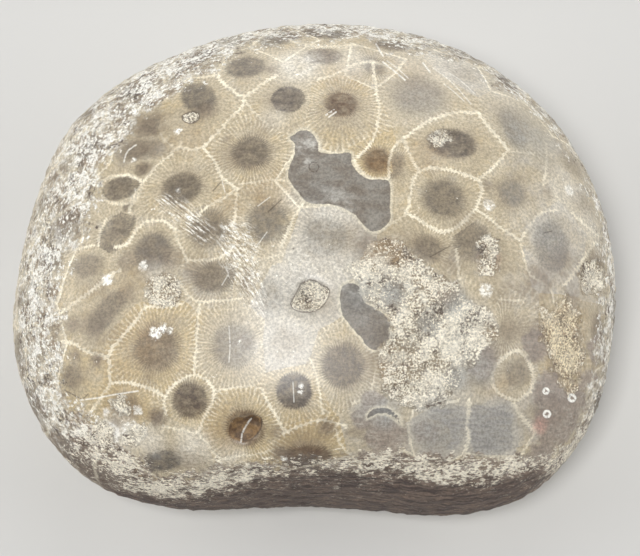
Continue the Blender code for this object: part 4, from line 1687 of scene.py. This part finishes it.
    def stained(self, colour: Signal) -> Signal:
        """Adds the soft-edged stains and the small blots, with the painted shade and highlight that the dark
        and pale clouds also hold.
        """
        sheet, tones = self.sheet, self.tones
        broken = self.noise(0.7, 5, 0.75)
        for kind, tone, most in (
            (Stain.PALE, tones.haze_and_highlight, 0.6),
            (Stain.WARM, tones.stain_warm, 0.35),
            (Stain.GREY, tones.stain_grey, 0.7),
            (Stain.DARK, tones.stain_dark_and_shade, 0.6),
            (Stain.PINK, tones.pink, 0.7),
        ):
            share = self.stain(kind) * (3.2 * broken - 0.6)
            colour = sheet.mix(sheet.most(sheet.least(share * most, 0.95), 0.0), colour, tone)
        ragged = self.uneven(1.6, 1.9, 4, 0.7)
        solid = sheet.ramp(0.44, 0.5, self.noise(2.4, 2, 0.6))
        for name, tone, blur, cover in (
            ("dark_spot", tones.stain_dark_and_shade, 0.9, 1.0),
            ("pale_spot", tones.chip, 0.25, 0.3 + 0.7 * solid),
        ):
            gap = sheet.measure("DISTANCE", self.place, sheet.attribute(name, "Color"))
            gap = gap - sheet.attribute(name, "Alpha") + ragged
            share = sheet.ramp(blur, -blur, gap) * sheet.attribute(f"{name}_strength") * cover
            colour = sheet.mix(share, colour, tone)
        return colour

    def marked(self, colour: Signal) -> Signal:
        """Adds the single marks."""
        sheet, tones = self.sheet, self.tones
        flat = sheet.vector("MULTIPLY", self.picture, (1.0, 1.0, 0.0))
        tone, half_width, _ = sheet.parts(sheet.attribute("mark_look", "Vector"))
        drawn = sheet.ramp(0.09, -0.03, self.segment_gap("mark", flat) - half_width)
        colour = sheet.mix(drawn * sheet.most(tone, 0.0), colour, tones.haze_and_highlight)
        return sheet.mix(drawn * sheet.most(0.0 - tone, 0.0), colour, tones.crack)

    def scratched(self, colour: Signal) -> Signal:
        """Adds the areas of parallel scratches."""
        sheet, tones = self.sheet, self.tones
        crumbled = sheet.ramp(0.4, 0.56, self.noise(1.6, 4, 0.75))
        for zone in SCRATCH_ZONES:
            slope = math.radians(zone.slope)
            along = sheet.measure("DOT_PRODUCT", self.picture, (math.cos(slope), math.sin(slope), 0.0))
            across = sheet.measure("DOT_PRODUCT", self.picture, (-math.sin(slope), math.cos(slope), 0.0))
            hair = sheet.noise(sheet.joined(along / zone.length, across * 3.2, 0.0), 1.0, 3, 0.75)
            inside = sheet.attribute(zone.attribute) * zone.strength
            pale = sheet.ramp(0.5, 0.58, hair) * inside * (0.15 + 0.85 * crumbled)
            colour = sheet.mix(pale, colour, tones.chip)
            colour = sheet.mix(sheet.ramp(0.45, 0.38, hair) * inside * 0.6, colour, tones.stain_dark_and_shade)
        return colour

    def muddy(self, colour: Signal) -> Signal:
        """Adds the thin grey films and the smooth grey mud between cells, with a pale edge round it."""
        sheet, tones = self.sheet, self.tones
        streaks = self.layered((0.25, 2.4, 1.0), 1.0, 4, 0.7)
        thin = sheet.ramp(0.2, -0.2, sheet.attribute("film") + self.uneven(0.8, 0.8, 4))
        colour = sheet.mix(thin * (0.3 + 0.5 * sheet.ramp(0.4, 0.6, streaks)), colour, tones.film)
        gap = sheet.attribute("mud") + self.uneven(0.4, 1.0, 3)
        rim = sheet.ramp(0.6, 0.1, gap) * sheet.ramp(-0.1, 0.1, gap)
        colour = sheet.mix(rim * 0.55, colour, tones.mud_rim)
        cloudy = self.layered((0.8, 1.2, 1.0), 0.4, 4, 0.65)
        mud = sheet.mix(sheet.ramp(0.34, 0.66, cloudy), tones.mud, tones.mud_pale)
        mud = sheet.mix(self.stain(Stain.GREY) * 0.6, mud, tones.eye_blue)
        mud = sheet.mix(self.stain(Stain.PALE) * sheet.ramp(0.4, 0.6, cloudy) * 0.5, mud, tones.haze_and_highlight)
        return sheet.mix(sheet.ramp(0.06, -0.06, gap), colour, mud)

    def grain_colour(self) -> Signal:
        """Colour of the grainy, sugary stone in the worn patches."""
        sheet, tones = self.sheet, self.tones
        lumps = self.noise(0.55, 4, 0.65) + self.stain(Stain.PALE) * 0.22
        colour = sheet.mix(sheet.ramp(0.42, 0.66, lumps), tones.grain_cream, tones.grain_white)
        colour = sheet.mix(self.stain(Stain.GREY) * 0.8, colour, tones.stain_grey)
        return sheet.mix(self.stain(Stain.DARK) * 0.6, colour, tones.stain_warm)

    def worn(self, colour: Signal) -> tuple[Signal, Signal]:
        """Adds the worn patches and pits, with painted shadow as a dark line round each pit's edge.

        Returns:
            The colour, and how worn each point is.
        """
        sheet, tones = self.sheet, self.tones
        ragged = self.uneven(3.6, 0.9, 5, 0.7)
        grain = self.grain_colour()
        grainy = sheet.ramp(0.25, -0.3, sheet.attribute("grainy") + ragged)
        colour = sheet.mix(grainy, colour, grain)
        orange = sheet.ramp(0.3, -0.3, sheet.attribute("orange") + ragged * 1.8)
        colour = sheet.mix(orange * 0.75, colour, sheet.mix(0.45, grain, tones.orange))
        cavity = sheet.ramp(0.1, -0.1, sheet.attribute("cavity") + ragged * 0.1)
        rusty = sheet.ramp(0.4, 0.6, self.noise(0.6, 4, 0.6))
        bottom = sheet.mix(rusty, tones.stain_warm, tones.eye_rust)
        colour = sheet.mix(cavity * 0.8, colour, bottom)
        pit_gap = sheet.attribute("pits") + ragged * 0.1
        # A dark line round each pit's edge: painted shadow at the rim of the hollow.
        outline = sheet.ramp(0.2, 0.05, pit_gap) * sheet.ramp(-0.2, -0.05, pit_gap)
        pit = sheet.ramp(0.08, -0.08, pit_gap)
        colour = sheet.mix(pit * 0.7, colour, grain)
        colour = sheet.mix(outline * 0.6, colour, tones.crack)
        return colour, sheet.most(sheet.most(grainy, orange), sheet.most(pit, cavity * 0.4))

    def rim_colour(self, cells: Cells, front: ShadedFrontWall, inward: Signal) -> Signal:
        """Colour of the weathered stone round the polished face, chalky and mottled, with faint coral.

        Args:
            cells: the coral's cells.
            front: the front side, which is browner, with its dark wall, both partly painted shade.
            inward: how far inside the polished face a point lies, in millimetres.

        Returns:
            The colour.
        """
        sheet, tones = self.sheet, self.tones
        blotch = self.noise(0.3, 5, 0.65)
        colour = sheet.mix(sheet.ramp(0.4, 0.62, blotch), tones.rim_pale, tones.rim_grey)
        chalk = self.layered((1.0, 1.0, 2.0), 0.6, 5, 0.7)
        colour = sheet.mix(sheet.ramp(0.5, 0.6, chalk) * 0.75, colour, tones.chip)
        colour = sheet.mix(sheet.ramp(0.45, 0.36, chalk) * 0.5, colour, tones.stain_dark_and_shade)
        colour = sheet.mix(sheet.ramp(-4.0, -9.0, inward) * 0.4, colour, tones.rim_pale)
        # Browner on the sides that face ahead: partly the stone's own colour, partly painted shade.
        colour = sheet.mix(front.ahead * 0.7, colour, tones.wall_brown_and_shade)
        colour = sheet.mix(cells.eye * cells.dark * 0.75, colour, tones.eye_grey)
        # Dark stains, and the painted shade on the lower left limb.
        colour = sheet.mix(self.stain(Stain.DARK) * 0.7, colour, tones.stain_dark_and_shade)
        colour = sheet.mix(cells.wall_line * 0.5, colour, tones.wall)
        # The dark layered front wall, facing ahead and down: painted shade over its own darker stone.
        layers = self.layered((0.3, 0.5, 2.2), 1.0, 4, 0.7)
        shaded = sheet.mix(sheet.ramp(0.42, 0.6, layers), tones.wall_dark_and_shade, tones.wall_brown_and_shade)
        return sheet.mix(front.dark, colour, shaded)

    def flecked(self, colour: Signal, density: Signal, worn: Signal, front: ShadedFrontWall) -> Signal:
        """Strews pale flecks and small dark pits over the colour.

        Args:
            colour: the colour without them.
            density: how closely they lie, from 0 to 1.
            worn: where the stone is sugary, with finer and creamier flecks, from 0 to 1.
            front: the front side, where the flecks are cream strokes, and few on its dark wall, which is
                partly painted shade.

        Returns:
            The colour with them.
        """
        sheet, tones = self.sheet, self.tones
        bedded = sheet.vector("MULTIPLY", self.place, (1.0, 1.0, 2.0))
        shifted = sheet.vector("ADD", bedded, (31.0, 17.0, 5.0))
        clumps = self.uneven(0.5, 0.4, 4, 0.65)
        coarse = sheet.noise(bedded, 1.5, 4, 0.75)
        strokes = self.layered((1.4, 3.0, 3.6), 1.0, 4, 0.75)
        fine = sheet.noise(shifted, 3.5, 2, 0.7)
        grain = sheet.pick(worn, sheet.pick(front.ahead, coarse, strokes), fine) + clumps
        other = sheet.noise(shifted, 1.4, 4, 0.75)
        sparse = 0.76 - 0.28 * density
        worms = sheet.ramp(0.04, 0.01, sheet.math("ABSOLUTE", other - 0.5)) * sheet.ramp(0.4, 0.95, density)
        pits = sheet.ramp(0.0, 0.06, other - clumps - (sparse + 0.03)) * sheet.ramp(0.1, 0.5, density)
        clustered = 0.3 + 0.7 * sheet.ramp(0.42, 0.6, sheet.noise(shifted, 0.3, 4, 0.6))
        dark = sheet.most(worms * 0.5, pits * 0.9) * clustered * (1.0 - 0.5 * front.dark)
        colour = sheet.mix(dark, colour, tones.rim_dark)
        gilded = sheet.most(sheet.ramp(1.0, -1.0, sheet.attribute("orange")), worn * 0.5)
        chip = sheet.mix(sheet.most(gilded, front.ahead * 0.5), tones.chip, tones.chip_gold)
        flecks = sheet.ramp(0.0, 0.06, grain - (sparse + 0.1 * front.dark))
        return sheet.mix(flecks * (0.95 - 0.5 * front.dark), colour, chip)

    def shaded_front_wall(self) -> ShadedFrontWall:
        """Finds the steep front side from the way that each point faces, where painted shade darkens the
        parts that face ahead and down.
        """
        sheet = self.sheet
        ahead, upward, _ = sheet.parts(sheet.attribute("front_facing", "Vector"))
        across, _, _ = sheet.parts(self.place)
        ragged = self.uneven(0.5, 0.8, 5, 0.75)
        broad = self.uneven(0.3, 0.15, 4, 0.6)
        lowered = upward + ragged - across * 0.008
        turned = ahead - ragged * 0.4 + broad
        # Dark where the surface faces ahead and down: painted shade, partly the wall's own darker stone.
        dark = sheet.ramp(0.36, 0.2, lowered) * sheet.ramp(0.74, 0.94, turned)
        return ShadedFrontWall(dark, sheet.ramp(0.35, 0.75, turned))

    def build(self) -> bpy.types.Material:
        """Wires the whole material."""
        sheet = self.sheet
        cells = self.cells()
        colour = self.scratched(self.stained(self.coral_colour(cells)))
        colour = self.muddy(colour)
        colour, worn = self.worn(colour)
        colour = self.marked(colour)
        ragged = self.uneven(6.0, 0.35, 3, 0.6) + self.uneven(4.0, 1.2, 4, 0.7)
        inward = sheet.attribute("polished") + ragged
        weathered = sheet.ramp(0.6, -0.5, inward)
        front = self.shaded_front_wall()
        colour = sheet.mix(weathered, colour, self.rim_colour(cells, front, inward))
        density = sheet.ramp(4.0, -2.0, inward) * (1.0 - 0.4 * sheet.ramp(-3.0, -9.0, inward))
        density = sheet.most(density + 0.15 * front.ahead * weathered * (1.0 - front.dark), worn)
        for kind, least, most in ((Stain.PALE, 0.14, 0.5), (Stain.MATRIX, 0.14, 0.26)):
            density = sheet.most(density, least + most * self.stain(kind))
        density = density - 0.4 * sheet.ramp(0.3, -0.1, sheet.attribute("mud"))
        density = density - 0.3 * sheet.most(self.stain(Stain.GREY), self.stain(Stain.DARK))
        colour = self.flecked(colour, density, worn, front)
        speckle = sheet.ramp(0.34, 0.66, self.noise(2.8, 3, 0.75))
        colour = sheet.scaled(colour, 0.76 + 0.45 * speckle)
        matte = sheet.most(weathered, worn)
        roughness = 0.33 + 0.34 * matte + 0.05 * (speckle - 0.5)
        relief = self.noise(1.8, 6, 0.8) * (0.1 + 0.6 * matte)

        shader = self.material.node_tree.nodes["Principled BSDF"]
        bump = sheet.node("ShaderNodeBump")
        bump.inputs["Strength"].default_value = 0.8
        bump.inputs["Distance"].default_value = 0.5 * MM
        sheet.wire(relief, bump.inputs["Height"])
        sheet.wire(Signal(sheet, bump.outputs["Normal"]), shader.inputs["Normal"])
        sheet.wire(colour, shader.inputs["Base Color"])
        sheet.wire(roughness, shader.inputs["Roughness"])
        shader.inputs["Specular IOR Level"].default_value = 0.5
        shader.inputs["IOR"].default_value = 1.5
        return self.material


class Stone:
    """The whole stone: one piece of fossil coral limestone."""

    def __init__(self, view: PhotoView) -> None:
        """Takes the view that places on the polished face are read in."""
        self.view = view

    def build(self) -> bpy.types.Object:
        """Makes the stone in place of the frame's node."""
        stone = StoneMesh(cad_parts[STONE_NODE], self.view).build()
        stone.data.materials.append(StoneMaterial().build())
        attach(stone, "root")
        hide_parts(STONE_NODE)
        return stone


@dataclass(frozen=True)
class SoftLight:
    """A square soft light that shines at the stone."""

    name: str
    toward: tuple[float, float, float]
    distance: float
    side: float
    power: float

    def build(self) -> bpy.types.Object:
        """Makes the light. toward is the direction from the stone to it, distance and side are metres."""
        data = bpy.data.lights.new(self.name, "AREA")
        data.shape = "SQUARE"
        data.size = self.side
        data.energy = self.power
        light = placed(self.name, data)
        direction = Vector(self.toward).normalized()
        light.location = Vector((0, 0, 0.03)) + direction * self.distance
        light.rotation_euler = direction.to_track_quat("Z", "Y").to_euler()
        return light


class Studio:
    """A plain pale floor under a soft light overhead."""

    floor_side: float = 6.0
    floor_tone: Colour = srgb(206, 205, 202)
    sky_tone: Colour = srgb(226, 228, 232)
    sky_strength: float = 0.12
    lights: tuple[SoftLight, ...] = (
        SoftLight("overhead", (-0.12, -0.34, 0.94), 0.75, 0.20, 4.1),
        SoftLight("left", (-0.9, 0.15, 0.4), 1.2, 1.0, 7.3),
        SoftLight("back", (0.1, 0.9, 0.35), 1.2, 1.0, 6.6),
        SoftLight("right", (0.95, 0.1, 0.4), 1.2, 1.0, 6.8),
    )

    def floor(self) -> bpy.types.Object:
        """The floor that the stone lies on."""
        shape = bmesh.new()
        bmesh.ops.create_grid(shape, x_segments=1, y_segments=1, size=self.floor_side / 2)
        mesh = finished("floor", shape)
        material = bpy.data.materials.new("pale_floor")
        material.use_nodes = True
        shader = material.node_tree.nodes["Principled BSDF"]
        shader.inputs["Base Color"].default_value = self.floor_tone
        shader.inputs["Roughness"].default_value = 0.9
        mesh.materials.append(material)
        floor = placed("floor", mesh)
        return floor

    def sky(self) -> None:
        """Even light from all round."""
        world = bpy.data.worlds.new("studio")
        world.use_nodes = True
        background = world.node_tree.nodes["Background"]
        background.inputs["Color"].default_value = self.sky_tone
        background.inputs["Strength"].default_value = self.sky_strength
        bpy.context.scene.world = world

    def build(self) -> None:
        """Makes the floor, the sky and the lights."""
        self.floor()
        self.sky()
        for light in self.lights:
            light.build()


def main() -> None:
    """Builds the view, the studio and the stone, and reports the stone's triangle count."""
    logging.basicConfig(level=logging.INFO, format="%(name)s: %(message)s")
    view = PhotoView()
    view.build()
    Studio().build()
    bpy.context.scene.view_settings.view_transform = "Standard"
    stone = Stone(view).build()
    triangles = sum(len(face.vertices) - 2 for face in stone.data.polygons)
    log.info("%s has %d triangles", stone.name, triangles)


if __name__ == "__main__":
    main()
